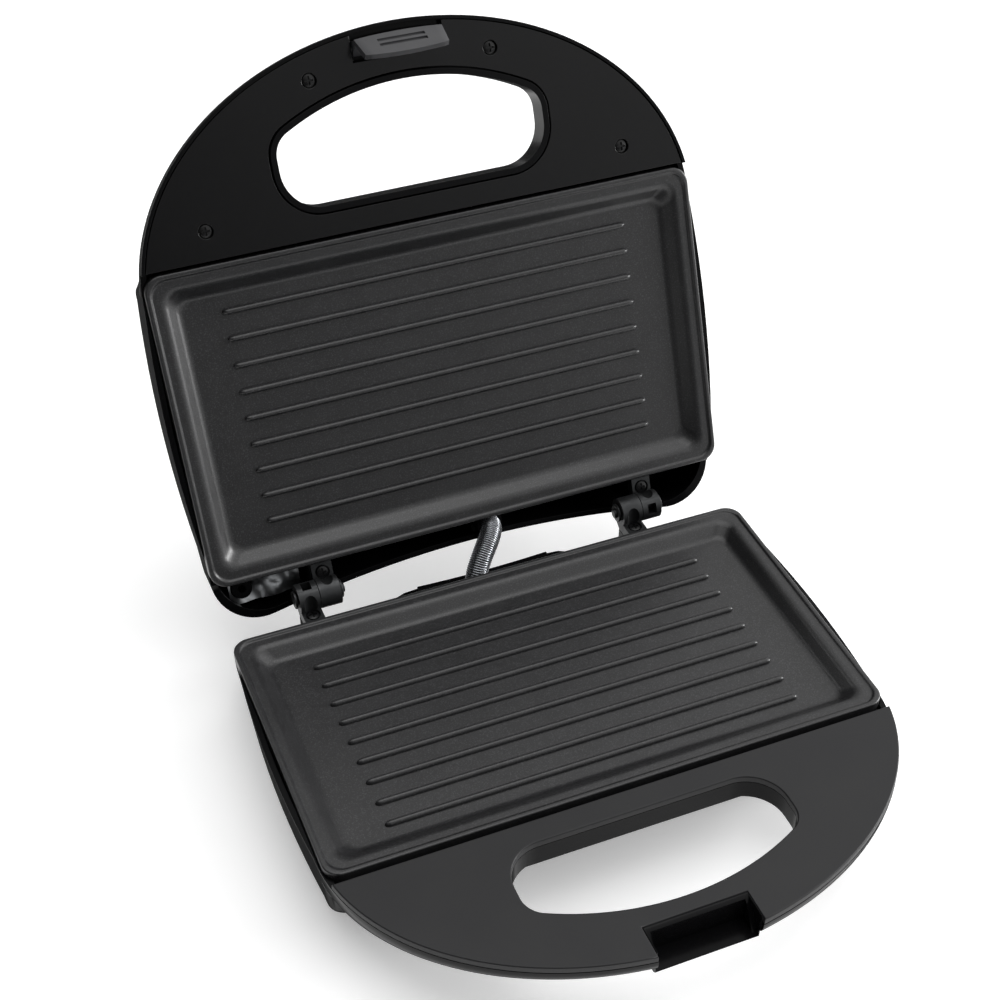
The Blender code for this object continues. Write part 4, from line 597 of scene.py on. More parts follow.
def shell_rings(half, wall):
    """Rings of the casing's outside (no wall) or of the hollow inside it."""
    rings = []
    band, slab, tray_reach = BAND[half], SLAB[half], TRAY_REACH[half]
    slab_round, side_round = slab - wall - band, BOTTOM_ROUND[half] - wall
    rear_round = REAR_ROUND - wall

    def ring(depth, side_in, rear_in, reach, power):
        draft = max(depth - band, 0.0) / (DEEP - band)
        side_in, rear_in = SIDE_TAPER[half] * draft + side_in, REAR_TAPER * draft + rear_in
        outline = shell_outline(side_in + wall, rear_in + wall, reach - wall, power)
        rings.append([place(x, s, depth) for x, s in outline])

    ring(-PAST if wall else RIM, 0.0, 0.0, TIP_REACH, 2.0)
    for step in range(9):
        angle = math.pi / 2 * step / 8
        reach = TIP_REACH - slab_round * (1 - math.cos(angle))
        ring(band + slab_round * math.sin(angle), 0.0, 0.0, reach, 2.0)
    ring(slab - wall + 2 * SEAM, 0.0, 0.0, tray_reach, 4.0)
    for step in range(9):
        angle = math.pi / 2 * step / 8
        curl = 1 - math.cos(angle)
        depth = DEEP - BOTTOM_ROUND[half] + side_round * math.sin(angle)
        reach = tray_reach + (TRAY_FOOT - tray_reach) * (depth - slab) / (DEEP - slab)
        ring(depth, side_round * curl, rear_round * curl, reach - rear_round * curl, 4.0)
    return rings


def rear_drop(depth):
    """The block that lowers the rim behind the plates, with a slope at its front."""
    start, end, far = 0.021, 0.009, -REAR_CORNER - WALL
    outline = [(start, -PAST), (start, RIM), (end, depth), (far, depth), (far, -PAST)]
    return side_prism(outline, -OUTSIDE, OUTSIDE)


print("casing rings", len(shell_rings("base", 0.0)))

# %% [markdown]
# ### Hinge posts, bosses and pockets
#
# Under each hinge leaf stands a square post, and the spring's bushing is gripped by a block.
# The base's tip has a finger notch and the pocket for the latch, both cut from a chin under the
# tip, and the lid's tip has the slot where the latch swings.

# %% What is added to and cut from the casings
LEAF_SPANS = {("base", -1): (-0.0825, -0.0738), ("base", 1): (0.0645, 0.0735),
              ("lid", -1): (-0.0825, -0.0738), ("lid", 1): (0.0645, 0.0735)}
SCREW_PLACES = [(-0.0871, 0.1531), (-0.0368, 0.1999), (0.0368, 0.1999), (0.0871, 0.1531)]
POST_REACH, POST_TOP = (0.0015, 0.0119), 0.0085
GRIP_TOP, GRIP_SIZE = 0.013, 0.0071
LATCH_ROOM, LATCH_REAR, LATCH_SLOT_DEPTH = 0.0185, 0.2034, 0.0092
NOTCH_HALF_WIDTH, NOTCH_REAR, NOTCH_TOP, NOTCH_FLOOR = 0.0201, 0.2010, 0.0014, 0.0129
CHIN_HALF_WIDTH, CHIN_REAR, CHIN_FRONT, CHIN_DEPTH = 0.0203, 0.2016, 0.2128, 0.0143
BEYOND = 0.219  # in front of everything


def posts(half):
    """The hinge posts and the bushing's block, trimmed to the casing's outside."""
    floor = DEEP - WALL / 2
    grip = BUSHING_ACROSS[half]
    blocks = [block(LEAF_SPANS[half, side], POST_REACH, (POST_TOP, floor)) for side in (-1, 1)]
    blocks.append(block((grip - GRIP_SIZE, grip + GRIP_SIZE), (POST_REACH[0], BUSHING_REACH + GRIP_SIZE),
                        (GRIP_TOP, floor)))
    return [combine(made, stack(shell_rings(half, 0.0)), "INTERSECT") for made in blocks]


def at_screws(top, bottom, radius):
    return [post(x, s, top, bottom, radius) for x, s in SCREW_PLACES]


def notch():
    """The finger notch: its floor falls off softly, and its front is cut straight."""
    outline = [(NOTCH_REAR, -PAST), (NOTCH_REAR, NOTCH_TOP), (0.2022, NOTCH_TOP), (0.2032, 0.0018),
               (0.2044, 0.0028), (0.2060, 0.0048), (0.2082, 0.0084), (0.2110, NOTCH_FLOOR),
               (BEYOND, NOTCH_FLOOR), (BEYOND, -PAST)]
    return side_prism(outline, -NOTCH_HALF_WIDTH, NOTCH_HALF_WIDTH)


def latch_pocket():
    """The room for the closed latch, open to the front."""
    rear = 0.2036
    outline = [(rear, -PAST), (BEYOND, -PAST), (BEYOND, NOTCH_FLOOR), (rear, NOTCH_FLOOR)]
    return side_prism(outline, -LATCH_ROOM, LATCH_ROOM)


def chin():
    """The block that the notch and the pocket are cut from."""
    outline = [(CHIN_REAR, NOTCH_TOP), (CHIN_FRONT, NOTCH_TOP), (CHIN_FRONT, 0.0131),
               (0.2116, CHIN_DEPTH), (0.2030, CHIN_DEPTH), (CHIN_REAR, NOTCH_FLOOR)]
    return side_prism(outline, -CHIN_HALF_WIDTH, CHIN_HALF_WIDTH)


def straight_front():
    """What is cut off the tip's curve in front of the chin."""
    return block((-CHIN_HALF_WIDTH, CHIN_HALF_WIDTH), (CHIN_FRONT, BEYOND), (-PAST, 0.016))


def latch_bay():
    """The slot in the lid's tip, bowed like the tip."""
    edge = 0.0032
    half_width, length = side_edge(FRONT_START) - edge, TIP_REACH - edge - FRONT_START
    right = [(0.0, LATCH_REAR), (LATCH_ROOM, LATCH_REAR)]
    for step in range(8, -1, -1):
        across = LATCH_ROOM * step / 8
        right.append((across, FRONT_START + length * math.sqrt(1 - (across / half_width) ** 2)))
    return prism(mirrored(right), -PAST, LATCH_SLOT_DEPTH)


# %% [markdown]
# ### Both casings
#
# First comes what the halves share: the shell, the room for the plate, the posts, the opening
# and the lowered rims behind and beside the plate. Then the base keeps a low rise of its rear
# rim and loses the top of its handle to the panel. The lid gets a recess for its panel, seats
# for the screws, a boss and two lamp holes.

# %% Casings
OPENING_DEPTH, PANEL_SEAT = 0.0155, 0.0043
LAMP_ACROSS, LAMP_REACH = 0.007, 0.1135
BOSS = (0.1020, 0.0064)


def plate_room():
    """The room for a plate, with round corners at the front."""
    half_width, rear, front, corner = 0.1153, 0.0122, PLATE_FRONT + SEAM, 0.0073
    right = [(0.0, rear), (half_width, rear)]
    right += arc((half_width - corner, front - corner), corner, 0, 90, 10) + [(0.0, front)]
    return prism(mirrored(right), -PAST, 0.0080)


def casing(half):
    hollow = stack(shell_rings(half, WALL))
    collar = prism(grip_outline(WALL), -2 * PAST, 0.030)
    tip = block((-0.0225, 0.0225), (0.2011, TIP_REACH + PAST), (-2 * PAST, SLAB[half] + PAST))
    body = cut(stack(shell_rings(half, 0.0)), cut(hollow, collar, tip))
    body = cut(body, plate_room(), rear_drop(REAR_RIMS["lid"]))
    body = join(body, *posts(half))
    body = cut(body, prism(grip_outline(0.0), -PAST, OPENING_DEPTH))
    for inner, rear in ((0.1149, -0.03), (0.1070, 0.1300)):
        for side in (-1, 1):
            across = sorted((side * inner, side * OUTSIDE))
            body = cut(body, block(across, (rear, PANEL_BACK[half] - SEAM), (-PAST, SIDE_RIM)))
    return cut(body, post(BUSHING_ACROSS[half], BUSHING_REACH, 0.0, 0.0163, 0.0052))


def rear_tab():
    """What stays standing of the base's rear rim: a low rise that runs out softly."""
    outline = [(0.0, -0.001), (0.030, -0.001), (0.030, 0.0119), (0.036, 0.0128), (0.041, 0.0152),
               (0.046, 0.0195), (0.050, 0.0225), (0.057, 0.0243), (0.0, 0.0243)]
    return stack([[place(x, s, depth) for x, depth in mirrored(outline)] for s in (-0.03, 0.03)])


def base_casing():
    drop = cut(rear_drop(REAR_RIMS["base"]), rear_tab())
    for side in (-1, 1):
        drop = cut(drop, block(LEAF_SPANS["base", side], POST_REACH, (-DEEP, DEEP)))
    handle_top = block((-OUTSIDE, OUTSIDE), (PANEL_BACK["base"] - 0.0004, 0.23), (-PAST, PANEL_SEAT))
    body = cut(casing("base"), drop, handle_top)
    return cut(join(body, chin()), notch(), latch_pocket(), straight_front())


def lid_casing():
    ring = prism(grip_outline(0.0028), -2 * PAST, 0.02)
    body = cut(casing("lid"), cut(prism(panel_outline("lid", -0.0004), -PAST, PANEL_SEAT), ring))
    seat_end = SLAB["lid"] - WALL / 2
    body = join(body, *at_screws(PANEL_SEAT, seat_end, 0.0038))
    boss = cut(post(*BOSS, 0.0122, 0.0340, 0.0043), post(*BOSS, 0.0100, 0.0200, 0.0017))
    lamp_holes = [post(side * LAMP_ACROSS, LAMP_REACH, 0.0072, 0.041, 0.0035) for side in (-1, 1)]
    return cut(join(body, boss), latch_bay(), *lamp_holes)


rims = in_plane(RIM, REAR_RIMS["lid"], REAR_RIMS["base"], SIDE_RIM)
keep("base_casing_moulding", ease(base_casing(), 0.0004, 2, rims), casing_gloss, "base",
     "base_housing")
keep("lid_casing_moulding", ease(lid_casing(), 0.0007, 3, rims), casing_gloss, "lid",
     "lid_housing")

# %% [markdown]
# ## Handle panels
#
# A separate flat moulding closes each handle. The base's has a satin grain and runs out to the
# casing's edge and up to the opening. The lid's is polished and lies in a recess with a fine
# dark seam round it. Its opening leaves a ring of the casing standing, which makes the double
# line in the photograph. Its four screws sit in round wells, and its slot is open to the front,
# so that the latch can tip outwards.

# %% Handle panels
PANEL_TOP = {"base": 0.0012, "lid": 0.0014}


def panel(half):
    body = prism(panel_outline(half, 0.0), PANEL_TOP[half], 0.0040)
    if half == "base":
        scoop = block((-0.0205, 0.0205), (0.2014, BEYOND), (-PAST, 0.016))
        return cut(body, prism(grip_outline(0.0), -PAST, 0.02), scoop)
    in_front = block((-LATCH_ROOM, LATCH_ROOM), (0.2100, BEYOND), (-PAST, LATCH_SLOT_DEPTH))
    body = cut(body, prism(grip_outline(0.0031), -PAST, 0.02), latch_bay(), in_front)
    return cut(body, *at_screws(0.0, 0.0031, 0.0029), *at_screws(0.0, 0.02, 0.0016))


keep("base_handle_panel", ease(panel("base"), 0.0006, 3, in_plane(PANEL_TOP["base"])), panel_satin,
     "base", "base_handle_cover")
keep("lid_handle_panel", ease(panel("lid"), 0.0005, 3, in_plane(PANEL_TOP["lid"])), panel_gloss,
     "lid", "lid_handle_cover")

# %% [markdown]
# ## Grill plates
#
# The plates are die-cast with a rim that steps down twice, a sloping wall and a sunk floor.
# The section was read off the photograph's lines of light and is rounded at every corner,
# because the coating softens them. Nine ribs with round ends stand on the floor. A rib is a
# sphere drawn out to a long bar: its poles become the ends, which keeps it one closed form.

# %% Grill plates
PLATE_HALF_WIDTH, PLATE_REAR = 0.115, 0.0125
TOP, STEP, FLOOR = 0.0015, 0.0023, 0.0073
SKIRT, UNDER_RIM, UNDER_FLOOR = 0.0077, 0.0050, 0.0101
section = [
    (FLOOR, 0.0160), (FLOOR, 0.0118), (STEP, 0.0068), (STEP, 0.0024), (TOP, 0.0018), (TOP, 0.0),
    (SKIRT, 0.0), (SKIRT, 0.0028), (UNDER_RIM, 0.0028), (UNDER_RIM, 0.0088), (UNDER_FLOOR, 0.0136),
    (UNDER_FLOOR, 0.0200),
]
RIB_START, RIB_PITCH, RIB_STRAIGHT, RIB_END = 0.0215, 0.01086, 0.0840, 0.00265
RIB_HALF_WIDTH, RIB_HEIGHT = 0.0014, 0.0017
PLATE_SCREW, PLATE_MIDDLE = 0.070, (PLATE_REAR + PLATE_FRONT) / 2


def plate_ring(depth, drawn_in):
    """One ring of the plate: a rectangle whose corners tighten a little towards the floor."""
    outline = rectangle(PLATE_HALF_WIDTH - drawn_in, PLATE_REAR + drawn_in, PLATE_FRONT - drawn_in,
                        max(0.007 - drawn_in * 0.15, 0.0040), 12)
    return [place(x, s, depth) for x, s in outline]


def rib(reach):
    """A long bar with round ends, half sunk into the floor."""
    mesh = bmesh.new()
    lying = Matrix.Rotation(math.pi / 2, 4, "Y")
    bmesh.ops.create_uvsphere(mesh, u_segments=12, v_segments=24, radius=1.0, matrix=lying)
    for corner in mesh.verts:
        end = abs(corner.co.x)
        girth = math.hypot(corner.co.y, corner.co.z) or 1.0
        turn = math.pi / 2 * max(end - 0.5, 0.0) / 0.5
        along = RIB_STRAIGHT * min(end / 0.5, 1.0) + RIB_END * math.sin(turn)
        taper = 0.0 if end > 0.999 else math.cos(turn)
        aside, rise = corner.co.y / girth * taper, corner.co.z / girth * taper
        corner.co = place(math.copysign(along, corner.co.x), reach + aside * RIB_HALF_WIDTH,
                          FLOOR - rise * RIB_HEIGHT)
    return mesh


def grill_plate():
    mesh = stack([plate_ring(depth, drawn_in) for depth, drawn_in in rounded(section, 0.0022, 6)])
    parts = [rib(PLATE_REAR + RIB_START + number * RIB_PITCH) for number in range(9)]
    parts += [post(side * PLATE_SCREW, PLATE_MIDDLE, FLOOR + 0.0014, 0.0227, 0.0042) for side in (-1, 1)]
    for part in parts:
        passing = written("passing", part)
        mesh.from_mesh(passing)
        bpy.data.meshes.remove(passing)
    return mesh


for half in ("base", "lid"):
    keep(half + "_cast_plate", grill_plate(), non_stick, half, half + "_grill_plate",
         smooth=50)

# %% [markdown]
# ## Hinges
#
# Each hinge is a pair of stamped leaves on one pin: a plain arm on the inside and, outside it,
# a knuckle with a small window. A leaf is a barrel joined to an L-shaped foot, bored, and cut
# away over its screw. The edges are eased, since they carry most of the light.

# %% Hinge leaves
BARREL, BORE, LEAF_SCREW, FOOT_TOP = 0.0062, 0.0023, 0.0076, 0.0034
leaf_nodes = {
    ("base", -1): ("hinge_knuckle_base", "knuckle"), ("base", 1): ("hinge_arm_base", "arm"),
    ("lid", -1): ("hinge_knuckle_lid", "knuckle"), ("lid", 1): ("hinge_arm_lid", "arm"),
}


def hinge_leaf(inner, outer, kind):
    barrel = [(-s, -d) for s, d in arc((0.0, 0.0), BARREL, 0, 360, 48)[:-1]]
    foot = [(-0.00434, 0.0), (0.0047, 0.0), (0.0053, FOOT_TOP), (POST_REACH[1], FOOT_TOP),
            (POST_REACH[1], 0.0082), (POST_REACH[0], 0.0082), (-0.00434, 0.00434)]
    body = join(side_prism(barrel, inner, outer), side_prism(foot, inner + 0.00007, outer - 0.00007))
    body = cut(body, bar(place(inner - PAST, 0.0, 0.0), place(outer + PAST, 0.0, 0.0), BORE, 40))
    middle = (inner + outer) / 2
    if kind == "knuckle":
        body = cut(body, block((middle - 0.002, middle + 0.002), (-0.0027, 0.0022), (-0.0092, 0.0)))
    body = cut(body, post(middle, LEAF_SCREW, 0.0, 0.0112, 0.0016),
               post(middle, LEAF_SCREW, -BARREL, 0.0048, 0.0032))
    return ease(body, 0.0003, 2)


for (half, side), (node, kind) in leaf_nodes.items():
    leaf = hinge_leaf(*LEAF_SPANS[half, side], kind)
    keep(node.replace("hinge_", "hinge_leaf_"), leaf, hinge_steel, half, node)

# %% [markdown]
# ## Pins, clips and screws
#
# Round parts are spun from half a section, which keeps them truly round. The screws' cross is
# cut from two slim blocks. Heads are domed a little, as a pan head is.

# %% Pins and clips
PIN_OUTER, PIN_INNER, RING_ACROSS = 0.084, 0.062, 0.0642
length = PIN_OUTER - PIN_INNER
pin_profile = rounded([(0.0, 0.0), (0.0, 0.0038), (0.0012, 0.0038), (0.0012, 0.0020), (length, 0.0020),
                       (length, 0.0)], 0.0004)
ring_profile = [(0.0, 0.0023), (0.0, 0.0037), (0.0003, 0.0040), (0.0008, 0.0040), (0.0011, 0.0037),
                (0.0011, 0.0023)]
for word, side in (("left", -1), ("right", 1)):
    inward = Vector((-side, 0.0, 0.0))
    pin = turned(pin_profile, place(side * PIN_OUTER, 0.0, 0.0), inward)
    keep("pivot_pin_" + word, pin, hinge_steel, "base", "hinge_pin_" + word)
    ring = turned(ring_profile, place(side * RING_ACROSS, 0.0, 0.0), inward)
    keep("retaining_ring_" + word, ring, hinge_steel, "base", "hinge_clip_" + word)

# %% Screws
down = Vector((0.0, 0.0, -1.0))


def screw(across, reach, head_depth, length):
    """A cross-head screw: its head stands at head_depth and it goes down from there."""
    profile = [(0.00012, 0.0), (0.00018, 0.0012), (0.0005, 0.0024), (0.0009, 0.0026), (0.0014, 0.0026),
               (0.0014, 0.0013), (length - 0.0006, 0.0013), (length, 0.0004), (length, 0.0)]
    body = turned(profile, place(across, reach, head_depth), down)
    cross_depth = (head_depth - 0.001, head_depth + 0.0009)
    for wide, long in ((0.0004, 0.0017), (0.0017, 0.0004)):
        arm = block((across - wide, across + wide), (reach - long, reach + long), cross_depth)
        body = cut(body, arm)
    return body


for number, (x, s) in enumerate(SCREW_PLACES, start=1):
    keep(f"lid_panel_screw_{number}", screw(x, s, 0.0017, 0.0062), black_screw, "lid",
         f"lid_cover_screw_{number}", smooth=30)
for (half, side), (node, kind) in leaf_nodes.items():
    middle = sum(LEAF_SPANS[half, side]) / 2
    keep(f"hinge_fixing_{half}_{kind}", screw(middle, LEAF_SCREW, 0.0031, 0.012), black_screw, half,
         f"hinge_screw_{half}_{kind}", smooth=30)

# %% [markdown]
# ## Latch
#
# A grey clip turns on a pin in the lid's tip. Its face narrows towards the tongue, bows a
# little in the middle and has two finger grooves. The profile is drawn from the side at 25
# places across; the form is then bored, eased at its ends and grooved.

# %% Latch
PIVOT_REACH, PIVOT_DEPTH, EYE = 0.2080, 0.0062, 0.0028
LATCH_HALF_WIDTH, LATCH_NARROWING, LATCH_BOW = 0.0177, 0.0012, 0.0007
LATCH_TOP, LATCH_TIP = -0.0015, -0.0125
CORNER_START, CORNER_CUT = 0.88, 0.0014
GROOVE_HALF_WIDTH, GROOVE_RADIUS, GROOVE_PITCH = 0.0095, 0.0009, 0.0031


def latch_section(share):
    """The latch's profile at a share of its half width, as a ring of points."""
    bow = LATCH_BOW * (1.0 - share**2)
    tip = LATCH_TIP + CORNER_CUT * max(abs(share) - CORNER_START, 0.0) ** 2 / 0.0144
    outline = [(0.2060 - bow, tip), (0.2116 + bow, LATCH_TOP), (PIVOT_REACH + EYE, RIM)]
    outline += arc((PIVOT_REACH, PIVOT_DEPTH), EYE, 0, 180, 12)
    outline += [(PIVOT_REACH - EYE, 0.0040), (0.2072, 0.0016), (0.2094 + bow, LATCH_TOP),
                (0.2044 - bow, tip + 0.0022)]
    ring = []
    for s, d in outline:
        half_width = LATCH_HALF_WIDTH - LATCH_NARROWING * max(LATCH_TOP - d, 0.0) / 0.0105
        ring.append(place(share * half_width, s, d))
    return ring


def at_side_end(edge):
    first, second = (corner.co.x for corner in edge.verts)
    return abs(first - second) < 0.00001 and abs(first) > 0.0160


def latch():
    past = Vector((0.021, 0.0, 0.0))
    axis = place(0.0, PIVOT_REACH, PIVOT_DEPTH)
    body = stack([latch_section(step / 12) for step in range(-12, 13)])
    body = ease(cut(body, bar(axis - past, axis + past, 0.0015)), 0.0004, 3, at_side_end)
    top, tip = Vector((0.2123, LATCH_TOP)), Vector((0.2053, LATCH_TIP))
    out = Vector((top.y - tip.y, tip.x - top.x)).normalized()
    for number in (0, 1):
        down_face = (tip - top).length * 0.31 + number * GROOVE_PITCH
        spot = top + (tip - top).normalized() * down_face
        for deeper in (0.0, 0.0003):
            sunk = spot - out * deeper
            ends = [place(side * GROOVE_HALF_WIDTH, *sunk) for side in (-1, 1)]
            body = cut(body, bar(*ends, GROOVE_RADIUS, 16))
    return body


keep("snap_latch", latch(), latch_satin, "lid", "latch_clip", body="latch")

# %% [markdown]
# ## The wires' spring
#
# A close-wound steel spring carries the lid's wires over the hinge. It leaves both casings
# square and bows between them. The wire is wound round that route as a curve with a round
# section, then made a mesh.

# %% Spring and sleeve
COIL_RADIUS, WIRE_RADIUS, COIL_PITCH, COIL_SIDES = 0.00475, 0.00038, 0.00080, 16
SLEEVE_RADIUS, ROUTE_PULL = 0.0033, 0.0105


def lid_point(across, reach, depth):
    return Matrix.Rotation(-OPEN_ANGLE, 3, "X") @ Vector((across, -reach, depth))


def conduit_route(steps):
    """Points and directions along a Bezier curve from the base's bushing to the lid's."""
    up = Vector((0.0, 0.0, 1.0))
    into_lid = lid_point(0.0, 0.0, BUSHING_DEPTH).normalized()
    a = place(BUSHING_ACROSS["base"], BUSHING_REACH, BUSHING_DEPTH) + up * SEAM
    d = lid_point(-BUSHING_ACROSS["lid"], BUSHING_REACH, BUSHING_DEPTH) - into_lid * SEAM
    b, c = a + up * ROUTE_PULL, d - into_lid * ROUTE_PULL
    route = []
    for step in range(steps + 1):
        on = step / steps
        back = 1 - on
        point = back**3 * a + 3 * back**2 * on * b + 3 * back * on**2 * c + on**3 * d
        along = back**2 * (b - a) + 2 * back * on * (c - b) + on**2 * (d - c)
        route.append((point, along.normalized()))
    return route


def tube(name, points, radius, detail):
    """A round tube along points, as a mesh piece in its place."""
    line = bpy.data.curves.new(name, "CURVE")
    line.dimensions = "3D"
    line.bevel_depth = radius
    line.bevel_resolution = detail
    line.use_fill_caps = True
    spline = line.splines.new("POLY")
    spline.points.add(len(points) - 1)
    for slot, point in zip(spline.points, points):
        slot.co = (*(point + HINGE), 1.0)
    drawn = stand(name + "_line", line)
    skin = bpy.data.meshes.new_from_object(drawn.evaluated_get(bpy.context.evaluated_depsgraph_get()))
    mesh = bmesh.new()
    mesh.from_mesh(skin)
    bpy.data.objects.remove(drawn)
    bpy.data.meshes.remove(skin)
    bmesh.ops.remove_doubles(mesh, verts=mesh.verts, dist=0.0000005)
    bmesh.ops.recalc_face_normals(mesh, faces=mesh.faces)
    return mesh


route = conduit_route(400)
lengths = [0.0]
for (here, _), (after, _) in zip(route, route[1:]):
    lengths.append(lengths[-1] + (after - here).length)
wound = lengths[-1] - 2 * WIRE_RADIUS
turns = int(wound / COIL_PITCH)
coil = []
slot = 0
for step in range(turns * COIL_SIDES + 1):
    climb = WIRE_RADIUS + wound * step / (turns * COIL_SIDES)
    while slot < len(lengths) - 1 and lengths[slot] < climb:
        slot += 1
    point, along = route[slot]
    aside = (Vector((1.0, 0.0, 0.0)) - along * along.x).normalized()
    angle = math.tau * step / COIL_SIDES
    outward = aside * math.cos(angle) + along.cross(aside) * math.sin(angle)
    coil.append(point + outward * (COIL_RADIUS - WIRE_RADIUS))
ends = (route[0][0] + HINGE, route[-1][0] + HINGE)
spring = keep("wire_spring", tube("wire_spring", coil, WIRE_RADIUS, 2), spring_steel, None,
              "conduit_spring", smooth=60)
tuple(ends[0])
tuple(ends[1])
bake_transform(spring)
middle_line = [point for point, _ in route[::8]]
sleeve = keep("wire_sleeve", tube("wire_sleeve", middle_line, SLEEVE_RADIUS, 4), braid, None,
              "conduit_sleeve", smooth=60)
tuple(ends[0])
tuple(ends[1])
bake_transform(sleeve)
print("spring turns", turns, "over", round(lengths[-1] * 1000, 1), "mm")

# %% [markdown]
# ## Bushings, feet, gland and lamps
#
# These are turned parts too: the black bushings that grip the spring, four rubber feet, the
# gland of the mains lead in the rear wall and the two lenses in the lid's outer face.

# %% Turned parts
bushing_profile = rounded([(0.0, 0.0024), (0.0, 0.0049), (0.006, 0.0049), (0.006, 0.0024)], 0.0005)
for half in ("base", "lid"):
    spot = place(BUSHING_ACROSS[half], BUSHING_REACH, BUSHING_DEPTH)
    keep("spring_bushing_" + half, turned(bushing_profile, spot, down), black_thermoset, half,
         "conduit_bushing_" + half)
foot_profile = [(0.0, 0.0), (0.0, 0.0028), (0.0027, 0.0028), (0.0027, 0.0085)]
foot_profile += rounded([(0.0028, 0.0085), (0.0064, 0.0085), (0.0064, 0.0040)], 0.0012)
foot_profile += [(0.0060, 0.0036), (0.0060, 0.0)]
for row, reach in (("rear", 0.0135), ("front", 0.110)):
    for word, side in (("left", -1), ("right", 1)):
        foot = turned(foot_profile, place(side * 0.083, reach, DEEP - WALL), down)
        keep(f"rubber_foot_{row}_{word}", foot, rubber, "base", f"foot_{row}_{word}")
gland_profile = [(0.0, 0.0026), (0.0, 0.0042), (0.0073, 0.0042), (0.0073, 0.0052), (0.0084, 0.0052),
                 (0.0089, 0.0048), (0.0120, 0.0036), (0.0123, 0.0033), (0.0123, 0.0026)]
flange_reach = rear_edge(0.0652) + 0.001 - SEAM
gland = turned(gland_profile, place(0.060, flange_reach + 0.0073, 0.030), Vector((0.0, 1.0, 0.0)))
keep("lead_gland", gland, rubber, "base", "cord_bushing")
lens_profile = [(0.0, 0.0), (0.0, 0.0032), (0.0023, 0.0032), (0.0026, 0.0029), (0.0029, 0.0018),
                (0.0030, 0.0)]
lenses = (("power", -1, lens_red, "lens_red"), ("ready", 1, lens_green, "lens_green"))
for word, side, paint, slot in lenses:
    spot = place(side * LAMP_ACROSS, LAMP_REACH, DEEP - WALL - 2 * SEAM)
    keep("lens_" + word, turned(lens_profile, spot, down), paint, "lid", "lamp_lens_" + word)

# %% [markdown]
# ## Heat shield of the lid
#
# The lid's shield is a shallow pan of thin aluminised sheet. One corner of it comes out behind
# the plate beside the hinge, pressed out of shape by hand, and shows its creases. The creases
# have to be real ones: a bump alone would keep the sheet's edge straight. Two waves that cross
# make them, sharpened so that they fold.

# %% Heat shield
SHEET, PAN_TOP, PAN_FLOOR = 0.0007, 0.0135, 0.0230
CORNER_ACROSS, CORNER_REACH, CORNER_DEPTH = 0.0770, -0.0005, 0.0146
CORNER_LENGTH, CORNER_WIDTH, CORNER_SHEET = 0.0305, 0.0160, 0.0005
CREASE_HEIGHT, ROWS, COLUMNS = 0.0009, 22, 34


def crease(across, reach):
    folds = math.sin(420 * across - 260 * reach) + 0.6 * math.sin(230 * across + 510 * reach + 1.0)
    return CREASE_HEIGHT * math.copysign(abs(folds) ** 0.7, folds)


def pan(inset):
    return rectangle(0.1085 - inset, 0.0145 + inset, 0.1375 - inset, 0.010 - inset, 8)


def crumpled(column, deeper):
    """One line of points over the bent corner."""
    along = CORNER_LENGTH * column / COLUMNS
    line = []
    for row in range(ROWS + 1):
        step = CORNER_WIDTH * row / ROWS
        depth = CORNER_DEPTH + deeper + crease(along, step)
        line.append(place(CORNER_ACROSS + along, CORNER_REACH + step, depth))
    return line


def lid_shield():
    body = cut(prism(pan(0.0), PAN_TOP, PAN_FLOOR + SHEET), prism(pan(SHEET), 0.0100, PAN_FLOOR))
    for side in (-1, 1):
        body = cut(body, post(side * PLATE_SCREW, PLATE_MIDDLE, 0.020, 0.026, 0.0022))
    rings = [crumpled(column, 0.0) + crumpled(column, CORNER_SHEET)[::-1]
             for column in range(COLUMNS + 1)]
    return join(body, cut(stack(rings), post(*BOSS, 0.0100, 0.0200, 0.0048)))


keep("lid_heat_shield_pan", lid_shield(), shield_sheet, "lid", "lid_heat_shield",
     smooth=60)

# %% [markdown]
# ## Parts that keep their solid's shape
#
# What is out of sight, or already has its full shape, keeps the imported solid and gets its
# finish.

# %% Finishes of the kept solids
kept = [
    (element_sheath, ["base_heating_element", "lid_heating_element"]),
    (shield_sheet, ["base_heat_shield"]),
    (zinc_plate, ["base_plate_screw_left", "base_plate_screw_right", "lid_plate_screw_left",
                  "lid_plate_screw_right", "latch_pin", "thermostat"]),
    (black_screw, ["base_cover_screw_left", "base_cover_screw_right"]),
    (steatite, ["thermal_fuse", "terminal_block"]),
    (black_thermoset, ["lamp_holder"]),
]
for paint, nodes in kept:
    for node in nodes:
        data = frame["nodes"][node].data
        data.materials.clear()
        data.materials.append(paint)
print("kept solids", sum(len(nodes) for _, nodes in kept))

# %% [markdown]
# ## Floor, background and light
#
# The photograph is a product shot on white. The floor is pale and keeps a soft shadow, and is
# lifted to white where it is seen or mirrored. The sky is plain, dim low at the left and bright
# overhead and at the right, which gives flat black faces their slow gradient. A large soft box
# hangs above, a second stands low at the right and lights the slopes that face it, and a small
# one behind draws lines of light along the edges.

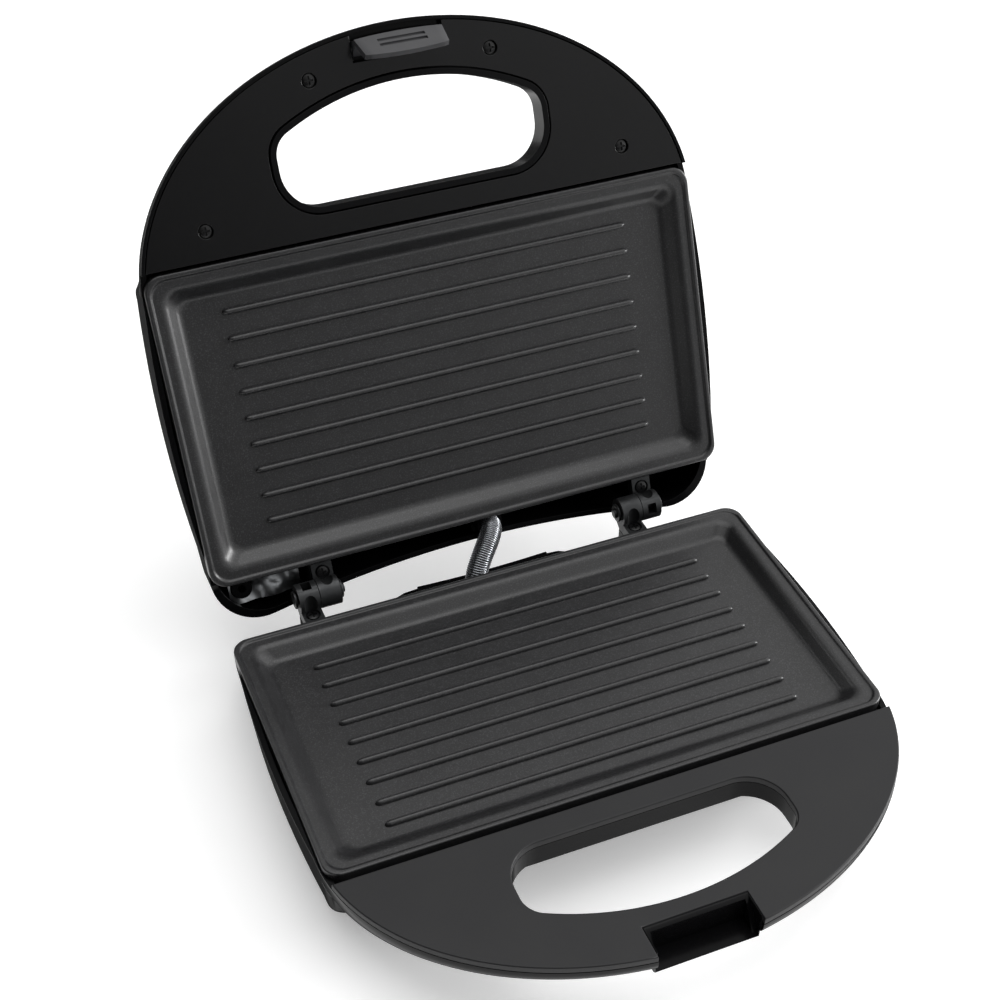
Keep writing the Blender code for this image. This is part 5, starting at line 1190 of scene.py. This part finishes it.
# %% Floor
FLOOR_LIFT, FLOOR_SIZE = 0.3, 1.6
WHITE = (1.0, 1.0, 1.0, 1.0)
floor_paint = bpy.data.materials.new("matt_paper_sweep_white")
tree = emptied(floor_paint)
where = add_node(tree, "TexCoord").outputs["Object"]
paper = add_node(tree, "ValToRGB", {"stops": zip(NOISE_RANGE, ("#f3f3f3", "#f7f7f7"))},
                 {"Fac": noise(tree, where, 3, 3.0)})
matt = add_node(tree, "BsdfDiffuse", {}, {"Color": paper.outputs["Color"]})
path = add_node(tree, "LightPath").outputs
seen = larger(tree, path["Is Camera Ray"], path["Is Glossy Ray"])
seen = larger(tree, seen, path["Is Transmission Ray"])
lift = add_node(tree, "Math", {"operation": "MULTIPLY", 1: FLOOR_LIFT}, {0: seen})
glow = add_node(tree, "Emission", {"Color": WHITE}, {"Strength": lift.outputs[0]})
both = add_node(tree, "AddShader", {}, {0: matt.outputs[0], 1: glow.outputs[0]})
add_node(tree, "OutputMaterial", {}, {"Surface": both.outputs[0]})
sweep = bmesh.new()
bmesh.ops.create_grid(sweep, x_segments=4, y_segments=4, size=FLOOR_SIZE)
data = written("paper_sweep", sweep)
data.materials.append(floor_paint)
stand("paper_sweep", data)

# %% World and lamps
BRIGHT_WAY = (0.75, -0.05, 0.65)
world = bpy.data.worlds.new("studio")
bpy.context.scene.world = world
tree = emptied(world)
where = add_node(tree, "TexCoord").outputs["Object"]
towards = add_node(tree, "VectorMath", {"operation": "DOT_PRODUCT", 1: BRIGHT_WAY}, {0: where})
level = spread(tree, towards.outputs["Value"], (0.20, 1.0), (0.05, 1.7))
sky = add_node(tree, "Background", {"Color": WHITE}, {"Strength": level})
add_node(tree, "OutputWorld", {}, {"Surface": sky.outputs[0]})


def lamp(name, spot, aim, size, power):
    light = bpy.data.lights.new(name, "AREA")
    light.shape = "RECTANGLE"
    light.size, light.size_y = size
    light.energy = power
    holder = stand(name, light)
    holder.location = spot
    point_along(holder, Vector(aim) - Vector(spot))


lamp("soft_box_above", (-0.1, 0.1, 1.35), (0.0, 0.0, 0.05), (1.1, 1.1), 6.0)
lamp("soft_box_right", (1.25, -0.25, 0.4), (0.0, 0.0, 0.12), (0.55, 0.4), 15.0)
lamp("soft_box_back", (-0.75, 0.8, 0.95), (0.0, 0.0, 0.05), (0.5, 0.4), 1.5)
print("lamps set")
